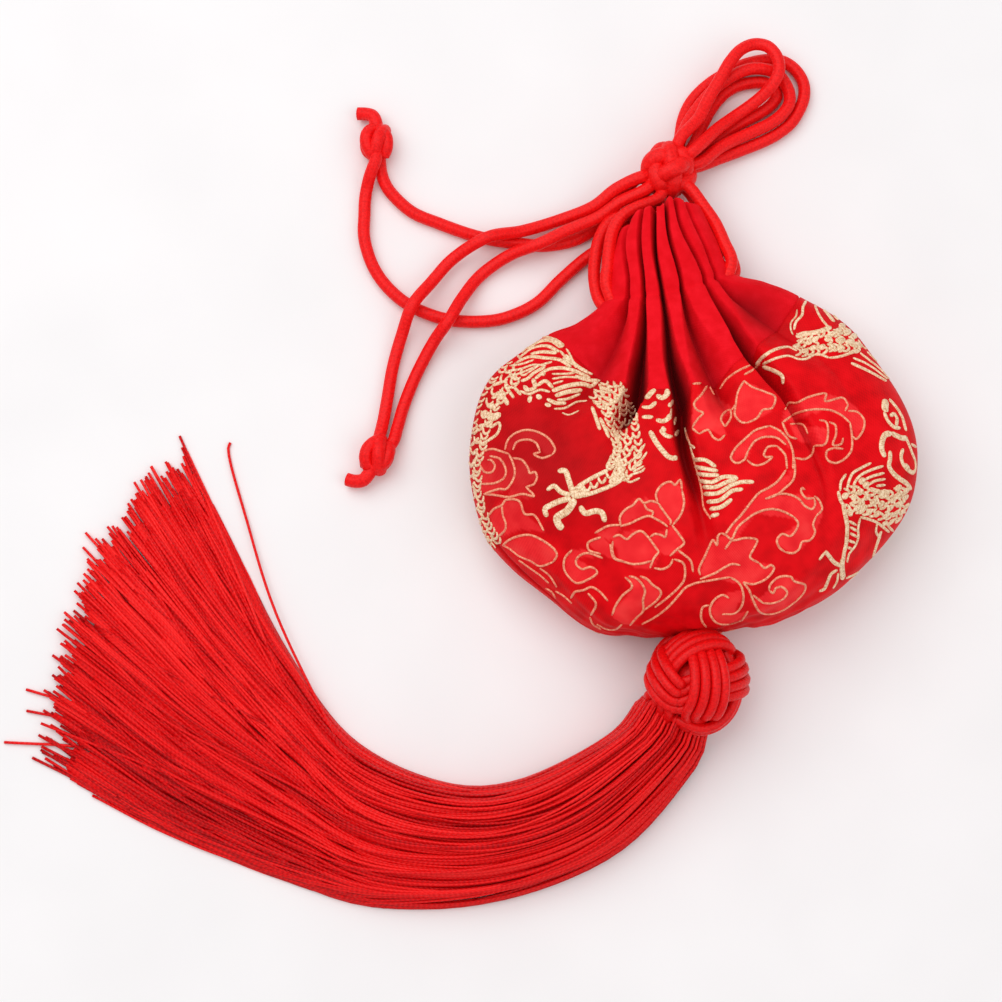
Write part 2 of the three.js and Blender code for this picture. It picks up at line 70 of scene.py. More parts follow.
# Routes of the cords, from the knot outwards, as the part's source has them
CORD_ROUTES = {
    "hanging_loop_1": [
        (40.0, 76.4, 3.4), (41.1, 82.5, 1.9), (42.6, 86.1, 1.4), (44.7, 88.7, 1.4), (47.4, 91.0, 1.4),
        (50.3, 92.7, 1.4), (53.1, 94.2, 1.4), (56.0, 95.1, 1.4), (58.9, 95.5, 1.4), (61.8, 95.1, 1.4),
        (64.2, 93.4, 1.4), (65.8, 90.6, 1.4), (65.9, 87.6, 1.4), (64.8, 84.6, 1.4), (63.0, 81.9, 1.4),
        (60.3, 79.7, 1.4), (57.2, 78.0, 1.5), (53.0, 76.2, 1.8), (48.5, 74.3, 2.4), (43.7, 72.2, 3.4),
    ],
    "hanging_loop_2": [
        (40.0, 76.4, 8.8), (44.0, 81.3, 7.5), (45.5, 84.5, 6.9), (48.8, 90.4, 6.9), (50.5, 93.3, 6.9),
        (52.8, 96.0, 6.4), (55.7, 97.4, 5.6), (58.3, 96.7, 6.0), (60.0, 94.3, 6.6), (60.4, 91.6, 6.6),
        (59.3, 89.0, 6.2), (57.2, 86.8, 5.0), (54.4, 84.7, 4.0), (51.2, 82.4, 4.1), (47.8, 79.4, 6.0),
        (42.8, 74.0, 8.9),
    ],
    "hanging_loop_3": [
        (42.6, 75.3, 6.0), (45.0, 81.1, 3.6), (47.2, 85.3, 2.0), (49.6, 88.2, 1.5), (52.3, 89.9, 1.4),
        (55.3, 90.6, 1.4), (57.8, 90.6, 1.4), (59.6, 89.5, 1.4), (60.4, 87.8, 1.4), (59.2, 85.9, 1.4),
        (56.7, 84.0, 1.4), (53.6, 82.3, 1.4), (50.5, 80.3, 1.6), (47.3, 77.7, 2.6), (42.5, 74.7, 3.3),
    ],
    "hanging_loop_4": [
        (40.2, 77.0, 6.0), (42.3, 81.8, 4.7), (45.1, 85.8, 4.4), (48.2, 89.1, 4.0), (51.5, 91.4, 4.0),
        (54.7, 92.7, 3.9), (57.6, 92.8, 3.6), (60.1, 92.1, 3.2), (61.7, 90.3, 3.1), (62.7, 88.0, 3.0),
        (62.7, 85.7, 3.0), (61.4, 83.6, 3.0), (59.0, 81.6, 3.0), (55.9, 80.0, 3.0), (52.1, 78.1, 3.6),
        (48.3, 75.8, 4.9), (44.3, 72.4, 6.0),
    ],
    "left_cord_1": [
        (35.8, 64.5, 4.8), (31.0, 61.9, 5.5), (26.8, 60.8, 5.7), (25.0, 58.9, 5.9), (23.5, 55.6, 6.2),
        (22.8, 51.6, 6.5), (22.7, 47.2, 7.0), (23.8, 42.9, 7.7),
    ],
    "left_cord_2": [
        (35.8, 64.5, 7.8), (31.0, 62.1, 8.5), (28.4, 60.4, 8.7), (26.5, 57.6, 8.9), (25.6, 53.6, 9.5),
        (25.2, 49.5, 9.8), (24.9, 46.2, 9.8),
    ],
    "right_cord_1": [
        (42.2, 66.2, 4.5), (44.6, 62.4, 4.6), (47.1, 58.4, 5.0), (49.3, 54.2, 5.8), (50.7, 49.6, 6.8),
    ],
    "right_cord_2": [
        (42.2, 66.2, 7.5), (44.6, 62.6, 8.0), (46.9, 58.8, 8.6), (48.5, 54.8, 9.2), (49.9, 50.7, 9.8),
    ],
    "free_cord_1": [
        (31.5, 68.6, 7.5), (27.0, 66.6, 6.2), (22.8, 63.6, 4.6), (15.9, 61.3, 2.4), (8.2, 58.8, 3.0),
        (1.4, 57.0, 5.1), (-5.7, 53.1, 2.8), (-9.9, 48.3, 3.0), (-13.8, 42.9, 4.8), (-15.9, 37.5, 2.4),
        (-17.7, 31.1, 1.4), (-18.8, 24.3, 1.4), (-19.6, 19.6, 1.8), (-20.3, 16.4, 2.6),
    ],
    "free_cord_2": [
        (33.0, 66.2, 7.5), (28.0, 63.9, 6.6), (23.5, 61.0, 5.4), (17.1, 58.3, 5.0), (12.1, 55.8, 5.0),
        (5.8, 53.9, 2.8), (-0.2, 49.9, 1.5), (-3.8, 44.9, 3.0), (-6.4, 40.0, 4.9), (-9.5, 36.0, 2.6),
        (-13.3, 28.8, 1.4), (-15.6, 22.7, 1.4), (-16.7, 18.6, 1.8), (-17.7, 15.3, 2.6),
    ],
    "free_cord_3": [
        (31.1, 69.1, 4.3), (27.8, 65.4, 2.4), (24.8, 61.4, 1.4), (19.4, 57.6, 1.4), (12.9, 56.2, 1.4),
        (8.3, 56.6, 1.4), (1.4, 57.6, 1.4), (-2.7, 58.7, 1.4), (-8.4, 60.8, 1.4), (-14.1, 63.3, 1.4),
        (-18.5, 67.5, 1.4), (-19.8, 69.8, 1.4), (-20.4, 71.8, 1.4), (-20.7, 74.5, 1.6),
    ],
    "free_cord_4": [
        (32.8, 66.4, 4.2), (30.9, 63.8, 2.2), (28.8, 60.8, 1.4), (26.2, 57.4, 1.4), (20.4, 53.0, 1.4),
        (15.9, 48.9, 1.4), (11.3, 44.3, 1.4), (6.6, 41.8, 1.4), (2.0, 40.6, 1.4), (-6.5, 40.8, 1.4),
        (-13.9, 43.5, 1.4), (-18.4, 47.0, 1.4), (-21.7, 51.6, 1.4), (-23.7, 57.9, 1.4), (-23.7, 62.6, 1.4),
        (-23.6, 65.8, 1.4), (-23.2, 68.3, 1.8), (-22.5, 70.6, 3.2), (-21.3, 73.8, 4.3),
    ],
}


def row_frame(points):
    """Points of the tables, in millimetres, as metres in the shared frame."""
    return (np.asarray(points, float) + PLAN_SHIFT) * MILLIMETRE


def unit(vectors):
    return vectors / np.maximum(np.linalg.norm(vectors, axis=-1, keepdims=True), 1e-9)


def smooth_step(value, low, high):
    share = np.clip((value - low) / (high - low), 0, 1)
    return share * share * (3 - 2 * share)


def curve_through(points, step):
    """A smooth curve through the points, sampled about a step apart."""
    points = np.asarray(points, float)
    ends = np.vstack([2 * points[:1] - points[1:2], points, 2 * points[-1:] - points[-2:-1]])
    samples = []
    for index in range(len(points) - 1):
        p0, p1, p2, p3 = ends[index : index + 4]
        gaps = [max(math.sqrt(np.linalg.norm(b - a)), 1e-6) for a, b in ((p0, p1), (p1, p2), (p2, p3))]
        slope_1 = (p1 - p0) / gaps[0] - (p2 - p0) / (gaps[0] + gaps[1]) + (p2 - p1) / gaps[1]
        slope_2 = (p2 - p1) / gaps[1] - (p3 - p1) / (gaps[1] + gaps[2]) + (p3 - p2) / gaps[2]
        slope_1 *= gaps[1]
        slope_2 *= gaps[1]
        count = max(2, math.ceil(np.linalg.norm(p2 - p1) / step))
        t = np.arange(count)[:, None] / count
        samples.append(
            p1
            + slope_1 * t
            + (3 * (p2 - p1) - 2 * slope_1 - slope_2) * t**2
            + (2 * (p1 - p2) + slope_1 + slope_2) * t**3
        )
    samples.append(points[-1:])
    return np.vstack(samples)


def between_rows(rows, places):
    """The rows at places between them, on a smooth curve; rows has one more at its start and its end."""
    first = np.clip(np.floor(places).astype(int), 0, len(rows) - 4)
    t = (places - first)[..., None]
    p0, p1, p2, p3 = (rows[first + step] for step in range(4))
    return 0.5 * (
        2 * p1 + (p2 - p0) * t + (2 * p0 - 5 * p1 + 4 * p2 - p3) * t**2 + (3 * p1 - p0 - 3 * p2 + p3) * t**3
    )


def length_along(path):
    """The distance along the path at each of its points."""
    return np.concatenate([[0.0], np.cumsum(np.linalg.norm(np.diff(path, axis=0), axis=1))])


def tube(path, radius, sides, closed=False):
    """Vertices, faces and the places along and around of a round tube; radius is one value or one a point."""
    count = len(path)
    tangents = unit(np.roll(path, -1, 0) - np.roll(path, 1, 0)) if closed else unit(np.gradient(path, axis=0))
    normal = np.cross(tangents[0], (0.0, 0.0, 1.0))
    if np.linalg.norm(normal) < 0.1:
        normal = np.cross(tangents[0], (1.0, 0.0, 0.0))
    normals = []
    for tangent in tangents:
        normal = unit(normal - tangent * np.dot(normal, tangent))
        normals.append(normal)
    normals = np.array(normals)
    others = np.cross(tangents, normals)
    angles = np.linspace(0, 2 * math.pi, sides, endpoint=False)
    radii = np.broadcast_to(np.asarray(radius, float), (count,))[:, None, None]
    rings = path[:, None] + radii * (
        normals[:, None] * np.cos(angles)[None, :, None] + others[:, None] * np.sin(angles)[None, :, None]
    )
    vertices = rings.reshape(-1, 3)
    faces = []
    for ring in range(count if closed else count - 1):
        start = ring * sides
        after = (ring + 1) % count * sides
        for side in range(sides):
            beside = (side + 1) % sides
            faces.append((start + side, start + beside, after + beside, after + side))
    along = np.repeat(length_along(path), sides)
    around = np.tile(angles / (2 * math.pi), count)
    if not closed:
        first, last = len(vertices), len(vertices) + 1
        vertices = np.vstack([vertices, path[:1], path[-1:]])
        along = np.append(along, [along[0], along[-1]])
        around = np.append(around, [0.0, 0.0])
        end = (count - 1) * sides
        for side in range(sides):
            beside = (side + 1) % sides
            faces.append((first, beside, side))
            faces.append((last, end + side, end + beside))
    return vertices, faces, along, around


def joined(parts):
    """Several tubes or ribbons as one set of vertices, faces and places along and around."""
    vertices, faces, along, around = [], [], [], []
    start = 0
    for part in parts:
        vertices.append(part[0])
        faces.extend([tuple(start + corner for corner in face) for face in part[1]])
        along.append(part[2])
        around.append(part[3])
        start += len(part[0])
    return np.vstack(vertices), faces, np.concatenate(along), np.concatenate(around)


def add_object(name, data):
    made = bpy.data.objects.new(name, data)
    bpy.context.scene.collection.objects.link(made)
    return made


def add_piece(name, vertices, faces, material, slot, nodes=(), **attributes):
    """A mesh that rides on the object, stands for its nodes and keeps named values at its points."""
    mesh = bpy.data.meshes.new(name)
    mesh.from_pydata(np.asarray(vertices).tolist(), [], faces)
    mesh.polygons.foreach_set("use_smooth", [True] * len(mesh.polygons))
    for key, values in attributes.items():
        layer = mesh.attributes.new(key, "FLOAT", "POINT")
        layer.data.foreach_set("value", np.asarray(values, np.float32))
    mesh.materials.append(material)
    piece = add_object(name, mesh)
    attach(piece, "root")
    if nodes:
        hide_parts(*nodes)
    return piece


def add_threads(name, parts, material, slot, nodes=(), **attributes):
    """Several tubes or ribbons as one piece, which keeps the places along and around them."""
    vertices, faces, along, around = joined(parts)
    return add_piece(name, vertices, faces, material, slot, nodes, along=along, around=around, **attributes)


def add_camera():
    data = bpy.data.cameras.new("camera")
    data.sensor_width = SENSOR_WIDTH
    data.lens = SENSOR_WIDTH * VIEW_DISTANCE / VIEW_WIDTH
    camera = add_object("camera", data)
    camera.location = Vector(VIEW_POINT * MILLIMETRE)
    camera.rotation_euler = Vector(VIEW_FORWARD).to_track_quat("-Z", "Y").to_euler()
    bpy.context.scene.camera = camera


# Materials

SILK_SHEEN = (255, 90, 80)
CLOTH_SHEEN = (255, 90, 90)


def screen_colour(red, green, blue):
    """The linear colour of a colour read off a screen from 0 to 255."""
    shares = [value / 255 for value in (red, green, blue)]
    linear = [s / 12.92 if s <= 0.04045 else ((s + 0.055) / 1.055) ** 2.4 for s in shares]
    return (*linear, 1.0)


class Shader:
    """A material's nodes, with short ways to add and link them."""

    def __init__(self, name):
        self.material = bpy.data.materials.new(name)
        self.material.use_nodes = True
        self.tree = self.material.node_tree
        self.surface = self.tree.nodes["Principled BSDF"]

    def fill(self, sockets, inputs):
        for key, value in inputs.items():
            if isinstance(value, bpy.types.NodeSocket):
                self.tree.links.new(value, sockets[key])
            else:
                sockets[key].default_value = value

    def node(self, kind, inputs, **settings):
        made = self.tree.nodes.new(kind)
        for key, value in settings.items():
            setattr(made, key, value)
        self.fill(made.inputs, inputs)
        return made

    def math(self, operation, first, second=0.0):
        return self.node("ShaderNodeMath", {0: first, 1: second}, operation=operation).outputs[0]

    def varied(self, ground, relief, share):
        """The ground's value with a share of a relief added to it."""
        return self.math("ADD", self.math("MULTIPLY", relief, share), ground)

    def stored(self, name):
        return self.node("ShaderNodeAttribute", {}, attribute_name=name).outputs["Fac"]

    def mottle(self, scale, detail=2.0):
        place = self.node("ShaderNodeTexCoord", {}).outputs["Object"]
        inputs = {"Vector": place, "Scale": scale, "Detail": detail}
        return self.node("ShaderNodeTexNoise", inputs).outputs["Fac"]

    def ramp(self, factor, stops):
        """A colour that runs through screen colours, each at its own place, as the factor rises."""
        made = self.node("ShaderNodeValToRGB", {"Fac": factor})
        elements = made.color_ramp.elements
        while len(elements) < len(stops):
            elements.new(0.5)
        for element, (where, colour) in zip(elements, stops.items()):
            element.position = where
            element.color = screen_colour(*colour)
        return made.outputs["Color"]

    def blend(self, kind, factor, first, second):
        inputs = {0: factor, 6: first, 7: second}
        return self.node("ShaderNodeMix", inputs, data_type="RGBA", blend_type=kind).outputs[2]

    def bump(self, height, strength, distance):
        inputs = {"Height": height, "Strength": strength, "Distance": distance}
        return self.node("ShaderNodeBump", inputs).outputs["Normal"]

    def finish(self, **inputs):
        self.fill(self.surface.inputs, {key.replace("_", " "): value for key, value in inputs.items()})
        return self.material


def braid_height(shader, strands, pitch):
    """A braid's relief from the places along and around a cord: two sets of strands that cross."""
    turn = shader.math("MULTIPLY", shader.stored("around"), strands * 2 * math.pi)
    run = shader.math("MULTIPLY", shader.stored("along"), 2 * math.pi / pitch)
    first = shader.math("SINE", shader.math("ADD", turn, run))
    second = shader.math("SINE", shader.math("SUBTRACT", turn, run))
    return shader.math("MULTIPLY", first, second)


def twist_height(shader, pitch):
    """The relief of a twisted thread, from the places along and around it."""
    run = shader.math("MULTIPLY", shader.stored("along"), 2 * math.pi / pitch)
    turn = shader.math("MULTIPLY", shader.stored("around"), 2 * math.pi)
    return shader.math("SINE", shader.math("ADD", run, turn))


def cord_material():
    shader = Shader("cord")
    braid = braid_height(shader, strands=4, pitch=2.1 * MILLIMETRE)
    tone = shader.varied(shader.mottle(scale=2600), braid, share=0.05)
    return shader.finish(
        Base_Color=shader.ramp(tone, {0.3: (220, 8, 12), 0.5: (240, 14, 16), 0.7: (250, 24, 24)}),
        Roughness=0.45,
        Specular_IOR_Level=0.2,
        Sheen_Weight=0.08,
        Sheen_Tint=screen_colour(*SILK_SHEEN),
        Normal=shader.bump(braid, strength=0.2, distance=0.2 * MILLIMETRE),
    )


# Cords

# How far the cords run on into the knots and the collar, in millimetres
BUTTON_TUCK = 3.0
END_TUCK = 3.5
# Where the drawstrings end inside the collar's channel
CHANNEL_TUCKS = {
    "left_cord_1": (27.0, 39.8, 8.6),
    "left_cord_2": (26.6, 41.2, 9.4),
    "right_cord_1": (49.2, 45.8, 7.4),
    "right_cord_2": (48.4, 46.2, 9.4),
}
BUTTON_CENTRE = np.array([37.7, 70.7, 6.0])
END_KNOT_OF_CORD = {
    "free_cord_1": "end_knot_2",
    "free_cord_2": "end_knot_2",
    "free_cord_3": "end_knot_1",
    "free_cord_4": "end_knot_1",
}


def towards(point, goal, distance):
    return np.asarray(point) + unit(np.asarray(goal) - np.asarray(point)) * distance


def end_knot_core(node):
    """The point inside an end knot where its cords end."""
    start, heading = END_KNOTS[node]
    return np.array([*(np.array(start) + unit(np.array(heading)) * END_KNOT_CORE), END_KNOT_STRAND])


def cord_route(node):
    """A cord's route with its ends tucked in where they come from and go to."""
    route = [np.array(point) for point in CORD_ROUTES[node]]
    first = towards(route[0], BUTTON_CENTRE, BUTTON_TUCK)
    if node.startswith("hanging_loop"):
        last = towards(route[-1], BUTTON_CENTRE, BUTTON_TUCK)
    elif node.startswith("free_cord"):
        last = towards(route[-1], end_knot_core(END_KNOT_OF_CORD[node]), END_TUCK)
    else:
        last = np.array(CHANNEL_TUCKS[node])
    return [first, *route, last]


def add_cord(node, material):
    path = row_frame(curve_through(cord_route(node), CORD_STEP))
    part = tube(path, CORD_DIAMETER / 2 * MILLIMETRE, CORD_SIDES)
    return add_threads("silk_" + node, [part], material, "cord", [node]), path


# Cloth of the bag

# Sections from the mouth to the bottom seam: both ends of the side seams, how far the middle hangs
# below them, the seam's height, and how far the front and the back swell from it
BAG_ROWS = [
    (28.6, 60.2, 43.4, 63.4, 0.6, 8.0, 6.4, 6.4),
    (26.0, 52.0, 47.0, 55.6, 1.2, 8.0, 7.0, 6.8),
    (24.6, 43.4, 50.2, 48.8, 2.6, 8.0, 7.0, 6.8),
    (19.4, 38.4, 56.6, 46.6, 10.6, 8.5, 10.5, 8.0),
    (13.3, 35.0, 63.5, 43.4, 17.0, 9.0, 14.0, 9.2),
    (1.5, 26.3, 75.5, 35.0, 19.0, 9.5, 18.0, 11.0),
    (-2.1, 11.5, 84.6, 18.5, 17.0, 9.5, 20.5, 12.0),
    (0.7, -1.5, 85.2, 4.5, 13.7, 9.5, 18.0, 12.0),
    (6.7, -9.8, 80.1, -7.0, 11.3, 9.5, 13.0, 10.0),
    (14.7, -16.7, 71.7, -14.9, 7.1, 9.5, 7.0, 6.0),
    (23.3, -20.8, 62.2, -19.6, 3.3, 9.5, 0.0, 0.0),
]
MOUTH_ROW, COLLAR_ROW, CHANNEL_ROW, SEAM_ROW = 0, 1, 2, 4
BOTTOM_ROW = len(BAG_ROWS) - 1
SIDE_CLEARANCE = 0.15
TABLE_CLEARANCE = 0.4
# The rolled rim of the mouth: its radius, how far it turns in radians, and its steps
RIM_RADIUS = 1.2
RIM_TURN = 1.9
RIM_STEPS = 8
MOUTH_DIP = 0.35
CHANNEL_PINCH = 0.7
CHANNEL_HALF_WIDTH = 0.08
PLEAT_ROUNDING = 0.4
PLEAT_ROUNDING_REACH = 2.4
PLEAT_SWAY = 0.007
PLEAT_SWAY_TURNS = 3.3
PLEAT_SWAY_PHASE = 50
# The rows where the pleats start towards the channel, towards the seam and to smooth out
PLEAT_START_ROW = 0.4
PLEAT_TO_SEAM_ROW = CHANNEL_ROW - 0.2
PLEAT_FADE_ROW = SEAM_ROW + 0.1
PLEAT_FADE_POWER = 1.5
# The rows between which the cloth comes to lie on the filling
FILLING_ROWS = (3.0, 5.0)
SEAM_OVERLAP = 0.05
SEAM_TUCK = 0.35
# Painted shade in the grooves: the groove depth, in millimetres, at which the cloth is painted fully dark,
# and how fast the painted shade grows towards it
FOLD_SHADE_DEPTH = 6.0
FOLD_SHADE_POWER = 1.3
# Rows and columns of the panels' grids
COLLAR_FRONT_GRID = (85, 290)
COLLAR_BACK_GRID = (60, 150)
BROCADE_FRONT_GRID = (140, 260)
BROCADE_BACK_GRID = (70, 140)

# Grooves between the pleats: where each lies from the left seam (0) to the right one (1) at the mouth,
# at the channel and at the brocade's seam; its half width and depth in the collar, then at the seam;
# how rounded its walls are there; and the row where it has smoothed out
FRONT_PLEATS = [
    (0.07, 0.16, 0.19, 0.45, 3.2, 6.0, 3.2, 1.5, 6.2),
    (0.22, 0.29, 0.335, 0.5, 4.8, 2.1, 9.0, 0.7, 5.5),
    (0.375, 0.43, 0.503, 0.6, 5.6, 2.0, 9.5, 0.7, 8.0),
    (0.55, 0.59, 0.635, 0.5, 4.4, 3.6, 4.4, 1.1, 5.6),
    (0.69, 0.785, 0.78, 0.5, 4.4, 1.3, 6.0, 0.8, 7.6),
    (0.84, 0.885, 0.90, 0.45, 3.4, 4.5, 2.8, 1.5, 6.2),
]
BACK_PLEATS = [(at, at, at, 0.5, 2.4, 2.2, 2.6, 1.2, 5.8) for at in (0.14, 0.28, 0.43, 0.57, 0.72, 0.86)]
# How far each pleat's top stands above the mouth's row, from the left pleat to the right one
PLEAT_TOPS = (-3.0, -0.6, -0.5, -1.2, 0.5, -0.2, -1.6)
# Gentle waves of the filled cloth: height, waves across, waves a row, phase
CLOTH_WAVES = [
    (0.30, 2.3, 0.45, 0.4),
    (0.22, 4.1, -0.35, 2.0),
    (0.14, 7.3, 0.8, 4.4),
    (0.08, 13.0, -1.1, 1.1),
]

# Painted shade where the satin turns from the light, and a painted dark line in the crease beside the side
# seam: its place across and down, how far that reaches each way, and how much darker it is painted
SATIN_PAINTED_SHADE = [
    (0.15, 0.2, 5.7, 1.0, 0.58),
    (0.06, 0.1, 3.4, 0.9, 0.14),
    (0.9, 0.08, 3.2, 0.8, 0.36),
    (0.015, 0.006, 8.0, 1.3, 0.6),
]
# Creases beside the side seam, in the same order but with their depth last
SEAM_CREASES = [(0.015, 0.006, 8.0, 1.3, 0.6)]

# Where the lying bag's edge has slumped out or in: its place on the table, how far that reaches,
# and how far it goes in x and y
EDGE_PUSHES = [
    (23.6, -21.2, 8.0, -0.5, -2.7),
    (4.8, -7.2, 13.0, -1.0, -1.0),
    (76.7, -9.3, 11.0, -1.1, 1.1),
    (77.5, 31.3, 8.0, -0.5, -0.5),
    (11.7, 35.6, 5.0, -0.3, 0.7),
    (34.0, -22.5, 6.0, 0.0, -0.6),
]


def bag_row(position):
    """The section at each position, on a smooth curve through the rows; past the bottom it folds back."""
    mirrored = [row[:6] + (-row[6], -row[7]) for row in BAG_ROWS[-2:-4:-1]]
    return between_rows(np.array([BAG_ROWS[0], *BAG_ROWS, *mirrored]), position)


def bag_surface(side, position, turn):
    """Points of the bag before it is pleated; side is 1 for the front and -1 for the back."""
    row = np.moveaxis(bag_row(position), -1, 0)
    across = (1 - np.cos(math.pi * turn)) / 2
    swell = row[6] if side > 0 else row[7]
    x = row[0] + (row[2] - row[0]) * across
    y = row[1] + (row[3] - row[1]) * across - 4 * row[4] * across * (1 - across)
    z = row[5] + side * swell * np.sin(math.pi * turn)
    return np.stack([x, y, z], axis=-1)


def bag_slopes(side, position, turn):
    """Which way the cloth runs towards the mouth, and which way it faces."""
    step = 0.01
    down = bag_surface(side, position + step, turn) - bag_surface(side, position - step, turn)
    right = bag_surface(side, position, turn + step) - bag_surface(side, position, turn - step)
    return unit(-down), unit(np.cross(right, -down)) * side


def pleat_depth(pleats, position, across):
    """How far the cloth is drawn in by its grooves, and how much of a groove each point is."""
    row = bag_row(position)
    panel = row[..., 2] - row[..., 0]
    depth = np.zeros(position.shape)
    groove = np.zeros(position.shape)
    to_seam = smooth_step(position, PLEAT_TO_SEAM_ROW, SEAM_ROW)
    below_channel = np.clip((position - CHANNEL_ROW) / (SEAM_ROW - CHANNEL_ROW), 0, 1)
    unfilled = 1 - smooth_step(position, *FILLING_ROWS)
    for mouth, channel, seam, collar_half, collar_deep, seam_half, seam_deep, rounding, end in pleats:
        centre = mouth + (channel - mouth) * smooth_step(position, PLEAT_START_ROW, CHANNEL_ROW)
        centre = centre + (seam - channel) * below_channel
        sway = np.sin(PLEAT_SWAY_TURNS * position + PLEAT_SWAY_PHASE * mouth)
        centre = centre + PLEAT_SWAY * sway * (1 - to_seam)
        half = collar_half + (seam_half - collar_half) * to_seam
        deepest = collar_deep + (seam_deep - collar_deep) * to_seam
        deepest = deepest * (1 - smooth_step(position, PLEAT_FADE_ROW, end)) ** PLEAT_FADE_POWER
        away = np.abs(across - centre) * panel / half
        share = np.clip(1 - away, 0, 1) ** (1 + (rounding - 1) * to_seam)
        round_off = PLEAT_ROUNDING * np.clip(1 - away * half / PLEAT_ROUNDING_REACH, 0, 1) ** 2 * unfilled
        depth = np.maximum(depth, deepest * share + round_off)
        groove = np.maximum(groove, share)
    return depth, groove


def cloth_waves(position, across):
    total = np.zeros(np.broadcast(position, across).shape)
    for height, waves_across, waves_down, phase in CLOTH_WAVES:
        total += height * np.sin(2 * math.pi * (waves_across * across + waves_down * position) + phase)
    return total * smooth_step(position, *FILLING_ROWS) * np.sin(math.pi * across) ** 0.5


def soft_spots(spots, position, across):
    """The sum of spots that fade out from their middles."""
    total = np.zeros(np.broadcast(position, across).shape)
    for middle, reach_across, row, reach_down, share in spots:
        beside = (across - middle) / reach_across
        below = (position - row) / reach_down
        total += share * np.exp(-(beside**2) - below**2)
    return total


def twice(values):
    """The same values for the outer and the inner layer of a shell."""
    return np.concatenate([values.ravel(), values.ravel()])


def edge_push(points):
    """How far each point of the cloth moves where the bag's edge has slumped."""
    move = np.zeros_like(points)
    for x, y, reach, push_x, push_y in EDGE_PUSHES:
        share = np.exp(-((points[..., 0] - x) ** 2 + (points[..., 1] - y) ** 2) / reach**2)
        move[..., 0] += push_x * share
        move[..., 1] += push_y * share
    return move


def cloth_grids(side, pleats, positions, columns, thickness, rim_steps=0):
    """The outer and the inner points of one panel, a row for each position and a column for each turn."""
    rim = np.linspace(RIM_TURN, 0, rim_steps, endpoint=False)
    position = np.concatenate([np.full(rim_steps, positions[0]), positions])[:, None]
    curl = np.concatenate([rim, np.zeros(len(positions))])[:, None, None]
    turn = np.linspace(0, 1, columns)[None, :]
    across = (1 - np.cos(math.pi * turn)) / 2
    position, turn, across = np.broadcast_arrays(position, turn, across)
    points = bag_surface(side, position, turn)
    upward, outward = bag_slopes(side, position, turn)
    depth, groove = pleat_depth(pleats, position, across)
    # Painted shade: the cloth's colour is darkened in its deep grooves and, by the satin spots, where it
    # turns from the light
    fold = np.clip(depth / FOLD_SHADE_DEPTH, 0, 1) ** FOLD_SHADE_POWER
    fold = np.clip(fold + soft_spots(SATIN_PAINTED_SHADE, position, across), 0, 1)
    depth = depth + soft_spots(SEAM_CREASES, position, across)
    depth = depth + CHANNEL_PINCH * np.exp(-(((position - CHANNEL_ROW) / CHANNEL_HALF_WIDTH) ** 2))
    depth = depth - cloth_waves(position, across)
    if rim_steps:
        depth = depth + SEAM_TUCK * smooth_step(position, SEAM_ROW - SEAM_OVERLAP, SEAM_ROW)
    grooves = [pleat[0] for pleat in pleats]
    middles = [(a + b) / 2 for a, b in zip([0.0, *grooves], [*grooves, 1.0])]
    lift = np.interp(across, middles, PLEAT_TOPS) - MOUTH_DIP * groove
    lift = lift * (1 - smooth_step(position, MOUTH_ROW, COLLAR_ROW))
    facing = outward * np.cos(curl) + upward * np.sin(curl)
    inset = depth[..., None] + RIM_RADIUS
    outer = points + upward * lift[..., None] - outward * inset + facing * RIM_RADIUS
    outer[..., 2] += side * SIDE_CLEARANCE
    outer = outer + edge_push(outer)
    inner = outer - facing * thickness
    outer[..., 2] = np.maximum(outer[..., 2], TABLE_CLEARANCE)
    inner[..., 2] = np.maximum(inner[..., 2], TABLE_CLEARANCE + thickness)
    return outer, inner, {"down": twice(position), "across": twice(across), "fold": twice(fold)}


def grid_faces(rows, columns, start, flipped):
    faces = []
    for row in range(rows - 1):
        for column in range(columns - 1):
            a = start + row * columns + column
            quad = (a, a + columns, a + columns + 1, a + 1)
            faces.append(quad[::-1] if flipped else quad)
    return faces


def shell(outer, inner, flipped):
    """A closed thin solid between two grids of points."""
    rows, columns = outer.shape[:2]
    count = rows * columns
    faces = grid_faces(rows, columns, 0, flipped) + grid_faces(rows, columns, count, not flipped)
    border = [(0, c) for c in range(columns - 1)]
    border += [(r, columns - 1) for r in range(rows - 1)]
    border += [(rows - 1, c) for c in range(columns - 1, 0, -1)]
    border += [(r, 0) for r in range(rows - 1, 0, -1)]
    ids = [r * columns + c for r, c in border]
    for a, b in zip(ids, ids[1:] + ids[:1]):
        quad = (a, b, count + b, count + a)
        faces.append(quad[::-1] if flipped else quad)
    return np.vstack([outer.reshape(-1, 3), inner.reshape(-1, 3)]), faces


def weave_height(shader, across_scale, down_scale):
    """Fine crossing threads, from the places across and down the cloth."""
    weft = shader.math("SINE", shader.math("MULTIPLY", shader.stored("across"), across_scale))
    warp = shader.math("SINE", shader.math("MULTIPLY", shader.stored("down"), down_scale))
    return shader.math("MULTIPLY", weft, warp)


